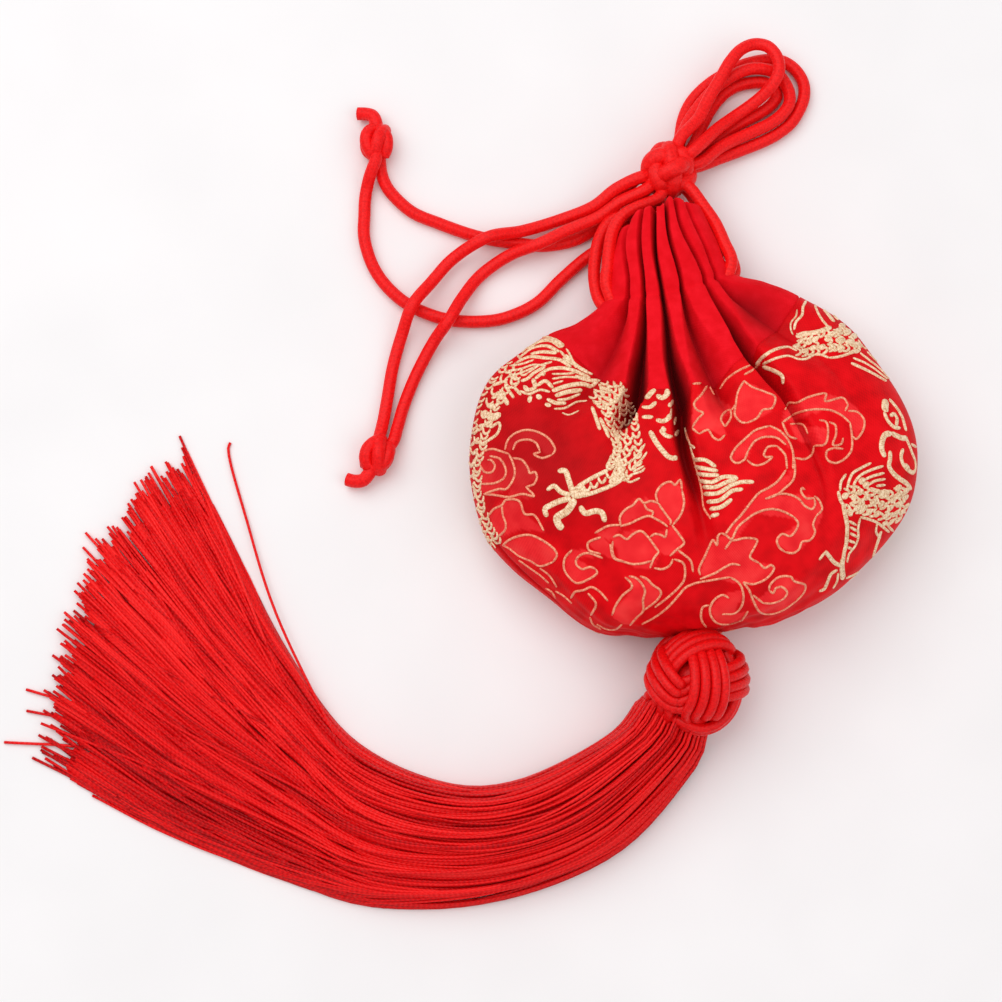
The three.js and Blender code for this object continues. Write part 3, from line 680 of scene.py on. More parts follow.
def brocade_material():
    shader = Shader("brocade")
    weave = weave_height(shader, across_scale=1150.0, down_scale=105.0)
    tone = shader.varied(shader.mottle(scale=260, detail=4.0), weave, share=0.1)
    ground = shader.ramp(tone, {0.3: (198, 2, 11), 0.5: (222, 4, 15), 0.72: (236, 9, 21)})
    petal = shader.ramp(tone, {0.3: (232, 30, 38), 0.5: (246, 42, 47), 0.72: (252, 60, 60)})
    cloth = shader.blend("MIX", shader.stored("petal"), ground, petal)
    # Base colour: the cloth mixed towards a deep red by the stored painted shade, in its grooves and where
    # the satin turns from the light
    return shader.finish(
        Base_Color=shader.blend("MIX", shader.stored("fold"), cloth, screen_colour(138, 2, 8)),
        Roughness=0.55,
        Specular_IOR_Level=0.07,
        Sheen_Weight=0.05,
        Sheen_Tint=screen_colour(*CLOTH_SHEEN),
        Normal=shader.bump(tone, strength=0.25, distance=0.2 * MILLIMETRE),
    )


def collar_material():
    shader = Shader("collar_cloth")
    weave = weave_height(shader, across_scale=700.0, down_scale=150.0)
    tone = shader.varied(shader.mottle(scale=420, detail=4.0), weave, share=0.15)
    cloth = shader.ramp(tone, {0.3: (222, 7, 21), 0.5: (230, 11, 27), 0.72: (240, 19, 35)})
    # Base colour: the cloth mixed towards a deep red by the stored painted shade, in its grooves and where it
    # turns from the light
    return shader.finish(
        Base_Color=shader.blend("MIX", shader.stored("fold"), cloth, screen_colour(118, 0, 8)),
        Roughness=0.8,
        Specular_IOR_Level=0.08,
        Sheen_Weight=0.08,
        Sheen_Tint=screen_colour(*CLOTH_SHEEN),
        Normal=shader.bump(tone, strength=0.25, distance=0.2 * MILLIMETRE),
    )


def add_collar(name, side, pleats, rows, columns, material):
    positions = np.linspace(MOUTH_ROW, SEAM_ROW + SEAM_OVERLAP, rows)
    outer, inner, places = cloth_grids(side, pleats, positions, columns, COLLAR_THICKNESS, RIM_STEPS)
    vertices, faces = shell(row_frame(outer), row_frame(inner), side < 0)
    return add_piece("cloth_" + name, vertices, faces, material, "collar_cloth", [name], **places)


def add_brocade(name, side, pleats, rows, columns, material):
    positions = np.linspace(SEAM_ROW, BOTTOM_ROW, rows)
    outer, inner, places = cloth_grids(side, pleats, positions, columns, BROCADE_THICKNESS)
    outer_points, inner_points = row_frame(outer), row_frame(inner)
    vertices, faces = shell(outer_points, inner_points, side < 0)
    places["petal"] = twice(petal_share(outer_points))
    piece = add_piece("cloth_" + name, vertices, faces, material, "brocade", [name], **places)
    return piece, cloth_tree(outer_points, side < 0)


# The woven pattern, drawn in the photo's pixels: a thread's width, then the points it runs through

LINE = 2.5
BOLD = 4.5
DRAGON_HEAD = [
    (LINE, [(522, 353), (536, 341), (547, 337), (557, 341), (567, 350), (576, 368)]),
    (8, [(527, 349), (541, 341), (552, 340), (563, 347)]),
    (5, [(531, 354), (542, 352), (557, 353)]),
    (3, [(510, 366), (522, 364), (534, 360)]),
    (3, [(513, 376), (526, 371), (538, 366), (552, 362)]),
    (3, [(560, 351), (572, 364)]),
    (3, [(563, 358), (573, 365)]),
    (3, [(516, 354), (523, 361)]),
    (BOLD, [(535, 379), (547, 370), (562, 368), (575, 371), (590, 378)]),
    (LINE, [(552, 374), (563, 374), (575, 373)]),
    (LINE, [(552, 379), (567, 377), (582, 378)]),
    (LINE, [(553, 384), (563, 381)]),
    (5, [(552, 391), (567, 386), (582, 384), (592, 387)]),
    (5, [(555, 396), (567, 392), (582, 390)]),
    (3, [(557, 400), (567, 399), (580, 394)]),
    (BOLD, [(591, 387), (602, 378)]),
    (BOLD, [(600, 387), (612, 391)]),
    (6, [(608, 377), (622, 383)]),
    (LINE, [(554, 409), (565, 408), (577, 402), (587, 401)]),
    (2, [(562, 413), (569, 415), (579, 411)]),
    (10, [(528, 399), (532, 399)]),
    (6, [(537, 395), (541, 399)]),
    (5, [(545, 404), (551, 406)]),
    (5, [(524, 386), (528, 390), (535, 387), (533, 379)]),
    (6, [(541, 373), (545, 375)]),
    (3, [(528, 373), (538, 366)]),
    (BOLD, [(519, 358), (533, 348), (547, 346), (559, 352)]),
    (BOLD, [(516, 363), (529, 357), (545, 358), (560, 360), (571, 367)]),
    (3, [(508, 371), (521, 369), (533, 365), (546, 366)]),
    (BOLD, [(521, 381), (527, 379), (534, 373), (545, 367)]),
    (BOLD, [(537, 386), (545, 381), (553, 388)]),
    (3, [(520, 391), (529, 394), (540, 390), (550, 392)]),
    (3, [(566, 355), (578, 366), (588, 372)]),
    (3, [(572, 363), (582, 370), (597, 376)]),
    (BOLD, [(575, 376), (588, 380), (600, 381)]),
    (BOLD, [(547, 399), (556, 403), (566, 403)]),
]
DRAGON_BODY = [
    (LINE, [(512, 374), (519, 381), (512, 388), (505, 381), (512, 374)]),
    (5, [(493, 385), (503, 382)]),
    (3.5, [(506, 387), (514, 398)]),
    (3.5, [(500, 390), (506, 395)]),
    (3.5, [(514, 387), (521, 395)]),
    (5, [(492, 398), (500, 395), (506, 401), (508, 405)]),
    (5, [(487, 405), (494, 407), (500, 401)]),
    (7, [(483, 412), (490, 416), (501, 415)]),
    (BOLD, [(479, 426), (485, 425), (492, 420), (499, 417)]),
    (3.5, [(490, 428), (499, 423), (500, 427), (497, 434), (489, 440), (480, 445)]),
    (BOLD, [(474, 434), (478, 430)]),
    (BOLD, [(472, 445), (479, 438)]),
    (BOLD, [(473, 454), (478, 449)]),
    (BOLD, [(471, 467), (477, 457)]),
    (7, [(473, 474), (475, 479)]),
    (7, [(474, 489), (476, 494)]),
    (BOLD, [(477, 508), (484, 518)]),
    (LINE, [(487, 536), (496, 548)]),
    (6, [(610, 378), (622, 382)]),
    (BOLD, [(623, 386), (621, 401), (619, 413)]),
    (BOLD, [(610, 403), (618, 400), (625, 389)]),
    (5, [(613, 426), (617, 439), (621, 447)]),
    (4, [(592, 407), (596, 418), (600, 430)]),
    (4, [(600, 418), (605, 428), (609, 438)]),
    (3, [(600, 391), (606, 399), (614, 401), (622, 395)]),
]
DRAGON_KNEE = [
    (LINE, [(631, 462), (640, 452), (645, 444)]),
    (LINE, [(632, 468), (642, 459), (647, 452)]),
    (LINE, [(633, 472), (644, 466)]),
    (LINE, [(630, 475), (642, 471), (645, 468)]),
    (LINE, [(624, 477), (629, 482), (640, 478)]),
    (8, [(610, 484), (616, 478), (621, 470), (618, 458)]),
    (6, [(646, 399), (651, 393), (657, 388)]),
    (6, [(657, 395), (662, 398), (667, 394), (667, 388)]),
    (5, [(642, 407), (650, 407), (656, 402)]),
    (5, [(642, 417), (653, 417)]),
    (5.5, [(656, 420), (664, 421), (670, 416), (671, 409)]),
    (5, [(669, 407), (673, 401)]),
    (6, [(663, 427), (664, 432)]),
    (5, [(660, 430), (667, 436), (673, 436), (679, 431)]),
    (5, [(674, 424), (676, 418)]),
    (5.5, [(650, 431), (656, 442), (662, 450), (669, 457), (675, 458), (680, 453)]),
    (3, [(685, 428), (687, 437), (690, 444), (692, 452), (695, 460)]),
    (3.5, [(690, 445), (695, 448)]),
]
DRAGON_CLAW = [
    (BOLD, [(577, 487), (592, 478), (608, 470)]),
    (BOLD, [(582, 496), (598, 491), (618, 482), (625, 476)]),
    (9, [(571, 494), (579, 494), (587, 490)]),
    (5, [(574, 489), (583, 486)]),
    (6, [(573, 494), (569, 481), (565, 471), (558, 471)]),
    (5, [(571, 495), (561, 492), (554, 486), (547, 490)]),
    (6, [(571, 498), (560, 501), (551, 505), (545, 509), (547, 517)]),
    (8, [(575, 499), (567, 511), (557, 518), (559, 525), (563, 529)]),
    (6, [(580, 506), (585, 513), (596, 511), (602, 513), (605, 522)]),
]
DRAGON_TAIL = [
    (2, [(797, 310), (796, 316), (791, 323), (791, 330), (793, 335)]),
    (3, [(806, 301), (803, 307), (802, 315), (796, 322), (794, 330)]),
    (3, [(814, 303), (818, 313), (823, 321), (829, 328)]),
    (6, [(821, 307), (827, 313), (834, 322)]),
    (5, [(826, 309), (832, 314), (838, 320)]),
    (6, [(796, 337), (803, 334), (812, 333), (821, 331), (831, 327)]),
    (4, [(756, 365), (763, 357), (774, 350), (788, 347), (797, 351)]),
    (3, [(763, 364), (777, 358), (789, 356), (798, 359), (806, 359), (814, 355), (822, 355), (829, 358)]),
    (3, [(829, 358), (838, 357), (848, 354), (856, 351), (862, 345)]),
    (3, [(858, 340), (862, 346), (866, 349)]),
    (5, [(763, 367), (772, 370), (782, 376), (783, 384)]),
    (4, [(851, 363), (862, 368), (872, 373), (886, 381)]),
    (3, [(853, 358), (865, 363), (876, 370), (887, 379)]),
    (3.5, [(860, 353), (869, 360), (880, 369), (889, 379)]),
    (3, [(867, 352), (874, 359), (882, 367)]),
]
RUYI_CLOUD = [
    (9, [(886, 400), (885, 407), (886, 412)]),
    (4.5, [(884, 412), (888, 421), (894, 427), (900, 428)]),
    (5, [(889, 399), (896, 407), (902, 417), (906, 431)]),
    (4.5, [(890, 416), (894, 414), (897, 419), (896, 426)]),
    (6.5, [(885, 457), (882, 450), (882, 442), (885, 435), (891, 433)]),
    (6, [(891, 433), (897, 436), (902, 438), (907, 438)]),
    (4.5, [(906, 438), (909, 445), (912, 453), (915, 461), (915, 470), (912, 474)]),
    (5.5, [(890, 451), (890, 459), (889, 466), (893, 473), (900, 479), (906, 483), (911, 489)]),
    (5, [(903, 449), (901, 456), (903, 464), (908, 470), (913, 473)]),
    (4, [(905, 464), (909, 468)]),
    (3.5, [(911, 444), (916, 447)]),
]
RIGHT_LEG = [
    (3, [(846, 474), (841, 482), (840, 491)]),
    (3, [(871, 463), (861, 468), (853, 473), (849, 481), (847, 490)]),
    (3, [(883, 466), (871, 470), (861, 475), (855, 482), (853, 490)]),
    (3, [(884, 473), (873, 476), (864, 480)]),
    (3, [(885, 479), (875, 481), (868, 485)]),
    (3, [(885, 485), (876, 486)]),
    (4, [(838, 491), (840, 499), (843, 505)]),
    (5, [(869, 489), (879, 492), (888, 496)]),
    (5, [(843, 503), (845, 514), (847, 524), (847, 534), (846, 544), (844, 553), (843, 561)]),
    (7, [(849, 508), (851, 516)]),
    (3, [(849, 521), (856, 525)]),
    (3, [(850, 527), (857, 531)]),
    (3, [(850, 533), (857, 537)]),
    (3, [(848, 540), (855, 543)]),
    (3, [(847, 547), (852, 549)]),
    (3, [(860, 518), (858, 528), (858, 538), (855, 546), (849, 554), (847, 562)]),
    (3, [(860, 517), (868, 519), (876, 522), (883, 527), (889, 532)]),
    (7, [(843, 557), (842, 567), (843, 579)]),
    (4.5, [(842, 566), (835, 563), (829, 556), (825, 551)]),
    (3, [(825, 552), (819, 560)]),
    (4.5, [(837, 570), (831, 574), (827, 583), (824, 589), (819, 591)]),
    (3, [(838, 573), (837, 581), (833, 588)]),
    (4, [(846, 578), (853, 575), (859, 571)]),
    (3, [(877, 523), (876, 532), (880, 538)]),
    (5, [(881, 531), (878, 541), (875, 550), (873, 557)]),
    (3, [(885, 521), (889, 527), (893, 531)]),
]
# Places of single open scales, each a small cup of thread, and of single filled ones
SCALES = [(582, 490), (587, 487), (594, 484), (602, 479), (610, 474)]
FILLED_SCALES = [
    (797, 346), (801, 341), (805, 351), (809, 342), (813, 348), (815, 339), (822, 347), (832, 348),
    (841, 349), (828, 339), (838, 331), (847, 332), (839, 340), (849, 342), (856, 345), (854, 336),
    (843, 325), (832, 334), (845, 496), (854, 497), (860, 492), (861, 502), (867, 497), (864, 508),
    (873, 502), (869, 512), (881, 504), (877, 514), (886, 516), (866, 485), (862, 481), (890, 508),
    (893, 500), (899, 494), (899, 504), (905, 498), (907, 506), (895, 514), (902, 512), (898, 488),
    (906, 491), (891, 522), (898, 520), (857, 508), (884, 524),
]
# Bands of the dragon's body that are covered in scales: half width at both ends, then the middle line
SCALE_BANDS = [
    (9, 5, [(516, 366), (503, 380), (492, 396), (484, 414), (478, 434), (473, 456), (471, 478), (474, 500),
            (482, 522), (493, 543)]),
    (8, 8, [(797, 345), (815, 344), (835, 340), (856, 341)]),
    (8, 13, [(846, 500), (862, 500), (880, 505), (902, 504)]),
    (14, 9, [(602, 386), (612, 396), (618, 409), (623, 424), (627, 442), (626, 458), (618, 472)]),
]
# The points of one scale's cup, as shares of its size beside and ahead of its middle
SCALE_CUP = [(-1.0, -0.5), (-0.6, 0.6), (0.0, 1.0), (0.6, 0.6), (1.0, -0.5)]
SCALE_SPACING = 1.9
BAND_STEP = 7.0
SCALE_SIZE = 3.7
SCALE_THREAD = 3.1
SCALE_JITTER = 0.8
FILLED_WIDTH = 6.8
FILLED_REACH = np.array([3.0, -1.8])
# Groups in which all the threads are equally wide, so that only their points are listed
FEATHER_FAN = [
    [(694, 460), (705, 460), (716, 467)],
    [(695, 467), (707, 469), (718, 471)],
    [(697, 474), (708, 475), (719, 475)],
    [(700, 481), (712, 482), (723, 477), (737, 477)],
    [(703, 487), (715, 487), (727, 482), (738, 478)],
    [(704, 494), (718, 493), (732, 485), (742, 482), (754, 482)],
    [(707, 502), (720, 500), (732, 491), (743, 489)],
    [(710, 509), (721, 507), (732, 499)],
    [(711, 516), (719, 514)],
]
LEFT_FLOWER = [
    [(505, 450), (508, 440), (516, 433), (527, 430), (540, 433), (550, 440), (555, 450), (552, 455)],
    [(552, 455), (542, 458), (535, 455), (534, 454), (541, 452)],
    [(513, 450), (516, 443), (522, 440), (530, 440), (536, 443), (540, 451)],
    [(478, 458), (483, 452), (492, 449), (500, 451), (509, 454)],
    [(509, 454), (513, 463), (515, 472), (512, 482), (506, 489), (499, 489), (484, 494)],
    [(480, 465), (485, 472), (492, 472), (495, 466), (491, 460), (488, 460)],
    [(490, 456), (500, 459), (506, 470), (504, 478), (495, 483), (482, 484)],
    [(513, 458), (522, 460), (528, 468), (530, 473), (535, 472), (537, 477), (534, 484), (526, 487)],
    [(526, 487), (534, 496), (522, 494), (509, 497), (495, 495), (484, 494)],
]
LEFT_LEAVES = [
    [(546, 588), (552, 592), (556, 598)],
    [(556, 591), (564, 596), (572, 603)],
    [(590, 617), (593, 624), (601, 629)],
    [(597, 624), (607, 629), (616, 629), (622, 624)],
    [(489, 515), (494, 509), (502, 505), (506, 500), (519, 501), (525, 514), (534, 515), (544, 531)],
    [(502, 505), (503, 515), (506, 524), (505, 530), (499, 536)],
    [(503, 545), (509, 540), (519, 536), (530, 535), (542, 540), (554, 549), (557, 555), (553, 562)],
    [(553, 562), (540, 566), (531, 561), (519, 556), (510, 549), (503, 545)],
    [(519, 560), (530, 568), (540, 575), (549, 583)],
    [(540, 568), (549, 575), (557, 587)],
    [(572, 550), (565, 558), (564, 568), (569, 577), (577, 583), (587, 580), (597, 573), (596, 569)],
    [(596, 569), (590, 567), (582, 569), (576, 563), (578, 557), (587, 553), (603, 558)],
    [(571, 598), (575, 592), (584, 590), (591, 587), (599, 591), (608, 601)],
    [(588, 593), (596, 604), (591, 615)],
]
PEONY = [
    [(621, 527), (620, 517), (625, 510), (633, 505), (639, 499), (644, 503), (651, 501), (658, 503)],
    [(644, 504), (647, 509), (653, 512), (652, 516)],
    [(621, 526), (631, 523), (639, 519), (649, 516), (656, 519), (663, 523), (668, 527)],
    [(613, 537), (619, 535), (627, 539), (633, 534), (641, 531), (648, 537), (654, 545), (659, 552)],
    [(659, 552), (654, 558), (650, 568)],
    [(650, 537), (655, 534), (661, 535), (665, 537), (667, 529)],
    [(613, 541), (612, 549), (615, 558), (622, 561), (633, 564), (644, 563), (651, 561)],
    [(595, 533), (608, 526), (620, 525)],
    [(601, 537), (588, 543), (589, 550), (601, 554)],
    [(610, 544), (614, 558), (625, 562)],
    [(658, 503), (656, 495), (659, 488), (665, 483), (671, 482), (675, 485), (680, 480), (682, 490)],
    [(682, 490), (684, 503), (681, 514), (673, 525)],
    [(658, 503), (665, 513), (671, 522), (670, 525)],
    [(672, 525), (678, 533), (684, 543), (676, 550), (670, 556)],
    [(673, 559), (670, 565), (663, 569), (654, 568)],
]
STEMS = [
    [(674, 559), (683, 563), (685, 569), (684, 580), (679, 587), (667, 598), (655, 607)],
    [(678, 550), (690, 560), (692, 565), (693, 572)],
    [(730, 577), (712, 580), (696, 583), (685, 588), (679, 595), (667, 608), (655, 617), (642, 624)],
    [(625, 577), (631, 583), (632, 587), (623, 595), (616, 605), (612, 615)],
    [(629, 576), (636, 578), (642, 584), (645, 591), (643, 600), (643, 611), (637, 617), (630, 625)],
    [(640, 576), (647, 579), (653, 585), (659, 589), (661, 593), (657, 600), (644, 610)],
    [(685, 430), (689, 441), (693, 457), (700, 482), (702, 492), (704, 508), (711, 519)],
]
MIDDLE_LEAF = [
    [(700, 575), (699, 569), (705, 556), (710, 545), (713, 540), (717, 545), (718, 536), (721, 533)],
    [(721, 533), (726, 535), (732, 540), (746, 538), (757, 540), (754, 548), (750, 557), (759, 563)],
    [(759, 563), (765, 568), (771, 565), (774, 568), (767, 578), (753, 584), (743, 582)],
    [(700, 579), (715, 573), (725, 567), (732, 564), (740, 565)],
]
BIG_SCROLL = [
    [(725, 535), (732, 525), (742, 514), (752, 501), (759, 493), (770, 487), (778, 481), (786, 470)],
    [(793, 453), (795, 470), (793, 480), (784, 489), (778, 494), (765, 499)],
    [(725, 549), (732, 539), (738, 527), (747, 519), (756, 513), (771, 509), (782, 511), (794, 517)],
    [(794, 517), (798, 523), (796, 530), (790, 536), (782, 534), (777, 540), (779, 547), (785, 552)],
    [(785, 552), (793, 553), (799, 549), (802, 542), (810, 540), (815, 532), (813, 525), (816, 516)],
    [(816, 516), (822, 509), (818, 499), (814, 496)],
    [(766, 499), (779, 494), (791, 495), (799, 499), (805, 506), (812, 509), (815, 504), (814, 498)],
    [(814, 498), (806, 498), (801, 491), (802, 488), (805, 490)],
]
BOTTOM_SCROLLS = [
    [(769, 590), (770, 585), (779, 577), (791, 577), (794, 581), (805, 585), (804, 592), (796, 601)],
    [(796, 601), (783, 610), (770, 614), (760, 612), (753, 600), (749, 590), (743, 582)],
    [(769, 590), (773, 593), (776, 588), (782, 587), (787, 592), (784, 598), (773, 603), (763, 603)],
    [(763, 603), (753, 595)],
    [(730, 577), (739, 583), (743, 592), (742, 605), (735, 613), (722, 614)],
    [(729, 598), (723, 595), (715, 599), (710, 608), (711, 616), (717, 623), (729, 624), (742, 620)],
    [(742, 620), (748, 611)],
    [(709, 605), (703, 607), (701, 613), (702, 621), (706, 627)],
]
BUD_STALK = (3, [(680, 385), (704, 383)])
BUD = [
    [(708, 384), (702, 394), (694, 404), (697, 410), (703, 413), (697, 420), (693, 428), (699, 434)],
    [(699, 434), (708, 430), (713, 437), (719, 440), (725, 435)],
    [(708, 384), (714, 395)],
    [(725, 427), (721, 420), (723, 414), (730, 410), (731, 417), (725, 427)],
    [(736, 404), (732, 410)],
    [(744, 381), (752, 387), (765, 392), (775, 397), (772, 408), (763, 410), (757, 418), (747, 423)],
    [(747, 423), (741, 422), (735, 415), (736, 404), (738, 392), (744, 381)],
    [(720, 389), (726, 380), (738, 371), (751, 365)],
    [(744, 375), (754, 369), (760, 363)],
]
RIGHT_FLOWER = [
    [(785, 410), (789, 403), (796, 403), (809, 397), (826, 394), (825, 401), (843, 398), (848, 405)],
    [(848, 405), (845, 411)],
    [(783, 422), (795, 414), (809, 410), (829, 410), (841, 415), (850, 423)],
    [(782, 422), (789, 436), (797, 439)],
    [(848, 411), (857, 412), (864, 420), (863, 430), (856, 439), (852, 436)],
    [(819, 420), (826, 422), (828, 431), (825, 444), (814, 446)],
    [(829, 422), (835, 425), (836, 434), (833, 445), (841, 444), (843, 438)],
    [(790, 424), (803, 425), (808, 434)],
    [(850, 423), (852, 438), (851, 451), (843, 460), (834, 463), (827, 459), (827, 451), (834, 448)],
    [(834, 448), (843, 449)],
    [(814, 446), (812, 454), (805, 459), (795, 458)],
]
TOP_SCROLL = [
    [(770, 426), (756, 430), (745, 439), (735, 449), (731, 458), (736, 463), (744, 460), (748, 451)],
    [(748, 451), (755, 441), (765, 437), (777, 438), (786, 445)],
    [(770, 426), (780, 431), (788, 440), (793, 453), (793, 469)],
    [(747, 460), (754, 465), (763, 464), (772, 457), (766, 457), (764, 455), (768, 447), (777, 446)],
    [(777, 446), (785, 455), (787, 469)],
]


def drawn(width, group):
    """The strokes of a group in which all the threads are equally wide."""
    return [(width, points) for points in group]


GOLD_WORK = DRAGON_HEAD + DRAGON_BODY + DRAGON_KNEE + DRAGON_CLAW + DRAGON_TAIL + RUYI_CLOUD + RIGHT_LEG
GOLD_WORK += drawn(BOLD, FEATHER_FAN)
OUTLINE_WORK = drawn(LINE, LEFT_FLOWER + LEFT_LEAVES + PEONY + STEMS + MIDDLE_LEAF)
OUTLINE_WORK += drawn(LINE, BIG_SCROLL + BOTTOM_SCROLLS)
OUTLINE_WORK += [BUD_STALK] + drawn(LINE, BUD + RIGHT_FLOWER + TOP_SCROLL)
# Petals and leaves that are woven in a lighter red, as outlines in the photo's pixels
PETALS = [
    [(478, 458), (492, 449), (509, 454), (515, 472), (506, 489), (484, 494), (476, 475)],
    [(513, 458), (524, 462), (537, 477), (526, 487), (534, 496), (509, 497), (514, 480)],
    [(505, 450), (516, 433), (540, 433), (555, 450), (548, 456), (536, 443), (520, 441), (513, 450)],
    [(489, 515), (506, 500), (519, 501), (525, 514), (544, 531), (520, 530), (499, 536)],
    [(503, 545), (519, 536), (542, 540), (557, 555), (540, 566), (519, 556)],
    [(564, 568), (572, 550), (603, 558), (578, 558), (597, 573), (577, 583)],
    [(621, 527), (620, 517), (639, 499), (658, 503), (670, 525), (649, 516)],
    [(613, 541), (619, 535), (641, 531), (659, 552), (650, 568), (622, 561)],
    [(595, 533), (620, 525), (612, 540), (601, 537)],
    [(588, 543), (601, 537), (610, 544), (614, 558), (601, 554)],
    [(658, 503), (659, 488), (671, 482), (682, 490), (684, 503), (673, 525)],
    [(667, 529), (672, 525), (684, 543), (670, 556), (659, 552), (650, 537)],
    [(625, 577), (632, 587), (612, 615), (630, 625), (643, 611), (645, 591), (636, 578)],
    [(640, 576), (653, 585), (661, 593), (644, 610), (645, 591)],
    [(700, 575), (705, 556), (713, 540), (726, 535), (746, 538), (757, 540), (750, 557), (774, 568),
     (753, 584)],
    [(725, 535), (752, 501), (778, 481), (795, 470), (784, 489), (756, 513), (725, 549)],
    [(756, 513), (766, 499), (791, 495), (814, 498), (822, 509), (815, 532), (793, 553), (777, 540),
     (798, 523)],
    [(743, 582), (753, 600), (769, 590), (779, 577), (805, 585), (783, 610), (760, 612)],
    [(710, 608), (723, 595), (743, 592), (735, 613), (748, 611), (729, 624), (717, 623)],
    [(708, 384), (694, 404), (693, 428), (708, 430), (725, 435), (721, 420), (732, 410), (714, 395)],
    [(744, 381), (775, 397), (772, 408), (747, 423), (735, 415), (738, 392)],
    [(785, 410), (809, 397), (843, 398), (864, 420), (856, 439), (850, 423), (829, 410), (783, 422)],
    [(790, 424), (803, 425), (828, 431), (825, 444), (797, 439)],
    [(770, 426), (745, 439), (731, 458), (744, 460), (755, 441), (777, 438), (793, 453), (780, 431)],
]

# Cross-section of a woven thread, as shares of its half width and of its height
THREAD_SECTION = [(-1.0, -0.5), (-0.85, 0.5), (-0.35, 1.0), (0.35, 1.0), (0.85, 0.5), (1.0, -0.5)]
THREAD_HEIGHT = 0.2 * MILLIMETRE
# Steps along the strokes and the petals' outlines, and the length of a thread's tapered end, in pixels
FRONT_STEP = 1.2
BACK_STEP = 2.0
PETAL_STEP = 4.0
THREAD_TAPER = 3.0
# A thread's width at its tip, as a share of its full width
THREAD_TIP = 0.45
# The longest gap between two points of one stroke on the cloth
LARGEST_JUMP = 1.4 * MILLIMETRE
# The height from which the back is looked at, in metres
BELOW_TABLE = -0.05


def scale_cup(place, beside, ahead):
    """One scale: a small cup of thread that opens backwards."""
    return (SCALE_THREAD, [place + SCALE_SIZE * (a * beside + b * ahead) for a, b in SCALE_CUP])


def scale_lines():
    lines = [scale_cup(place, np.array([1.0, 0.0]), np.array([0.0, 1.0])) for place in np.array(SCALES)]
    for place in np.array(FILLED_SCALES):
        lines.append((FILLED_WIDTH, [place - FILLED_REACH, place + FILLED_REACH]))
    for start, end, points in SCALE_BANDS:
        path = curve_through(points, BAND_STEP)
        ahead = unit(np.gradient(path, axis=0))
        for row, (place, run) in enumerate(zip(path, ahead)):
            beside = np.array([-run[1], run[0]])
            half = start + (end - start) * row / len(path)
            count = max(2, round(2 * half / (SCALE_SPACING * SCALE_SIZE))) + row % 2
            for offset in np.linspace(-half, half, count):
                jitter = SCALE_JITTER * np.array([chance.gauss(0, 1), chance.gauss(0, 1)])
                lines.append(scale_cup(place + beside * offset + jitter, beside, run))
    return lines


def photo_pixels(points):
    """Where points of the shared frame, in metres, lie in the photo."""
    away = points / MILLIMETRE - VIEW_POINT
    reach = VIEW_DISTANCE / (away @ VIEW_FORWARD)
    x = PHOTO_MIDDLE + away[..., 0] * reach / PIXEL
    y = PHOTO_MIDDLE - (away @ VIEW_UP) * reach / PIXEL
    return x, y


def cloth_tree(grid, flipped):
    rows, columns = grid.shape[:2]
    return BVHTree.FromPolygons(grid.reshape(-1, 3).tolist(), grid_faces(rows, columns, 0, flipped))


def front_hit(tree, x, y):
    """The front cloth's point and facing under a pixel of the photo."""
    aim = VIEW_FORWARD * VIEW_DISTANCE + VIEW_UP * (PHOTO_MIDDLE - y) * PIXEL
    aim[0] += (x - PHOTO_MIDDLE) * PIXEL
    return tree.ray_cast(Vector(VIEW_POINT * MILLIMETRE), Vector(aim).normalized())[:2]


def back_hit(tree, place):
    """The back cloth's point and facing straight under a point of the front."""
    return tree.ray_cast(Vector((place[0], place[1], BELOW_TABLE)), Vector((0, 0, 1)))[:2]


def stroke_runs(hits):
    """The stretches of a stroke that lie on the cloth without a break."""
    runs, run = [], []
    for hit in hits:
        missed = hit[0] is None
        if run and (missed or (hit[0] - run[-1][0]).length > LARGEST_JUMP):
            runs.append(run)
            run = []
        if not missed:
            run.append(hit)
    runs.append(run)
    return [run for run in runs if len(run) > 2]


def thread_ribbon(run, width):
    """A flat thread that lies on the cloth, with its ends drawn to a point."""
    centre = np.array([hit[0] for hit in run])
    facing = np.array([hit[1] for hit in run])
    smooth = np.vstack([facing[:1], facing, facing[-1:]])
    facing = unit(smooth[:-2] + 2 * smooth[1:-1] + smooth[2:])
    beside = unit(np.cross(facing, np.gradient(centre, axis=0)))
    along = length_along(centre)
    to_end = np.minimum(along, along[-1] - along) / (THREAD_TAPER * PIXEL * MILLIMETRE)
    half = width / 2 * PIXEL * MILLIMETRE * (THREAD_TIP + (1 - THREAD_TIP) * np.clip(to_end, 0, 1) ** 0.5)
    sides = len(THREAD_SECTION)
    rings = [centre + beside * (a * half)[:, None] + facing * (b * THREAD_HEIGHT) for a, b in THREAD_SECTION]
    vertices = np.stack(rings, axis=1).reshape(-1, 3)
    faces = []
    for ring in range(len(run) - 1):
        for side in range(sides):
            after = (side + 1) % sides
            a, b = ring * sides + side, ring * sides + after
            faces.append((b, a, a + sides, b + sides))
    last = (len(run) - 1) * sides
    faces.append(tuple(range(sides)))
    faces.append(tuple(last + side for side in reversed(range(sides))))
    around = np.tile([a for a, b in THREAD_SECTION], len(run)) * np.repeat(half, sides)
    return vertices, faces, np.repeat(along, sides), around


def thread_work(lines, find, step):
    """The ribbons of many strokes; find gives the cloth's point and facing under a pixel."""
    ribbons = []
    for width, points in lines:
        path = curve_through(points, step)
        for run in stroke_runs([find(x, y) for x, y in path]):
            ribbons.append(thread_ribbon(run, width))
    return ribbons


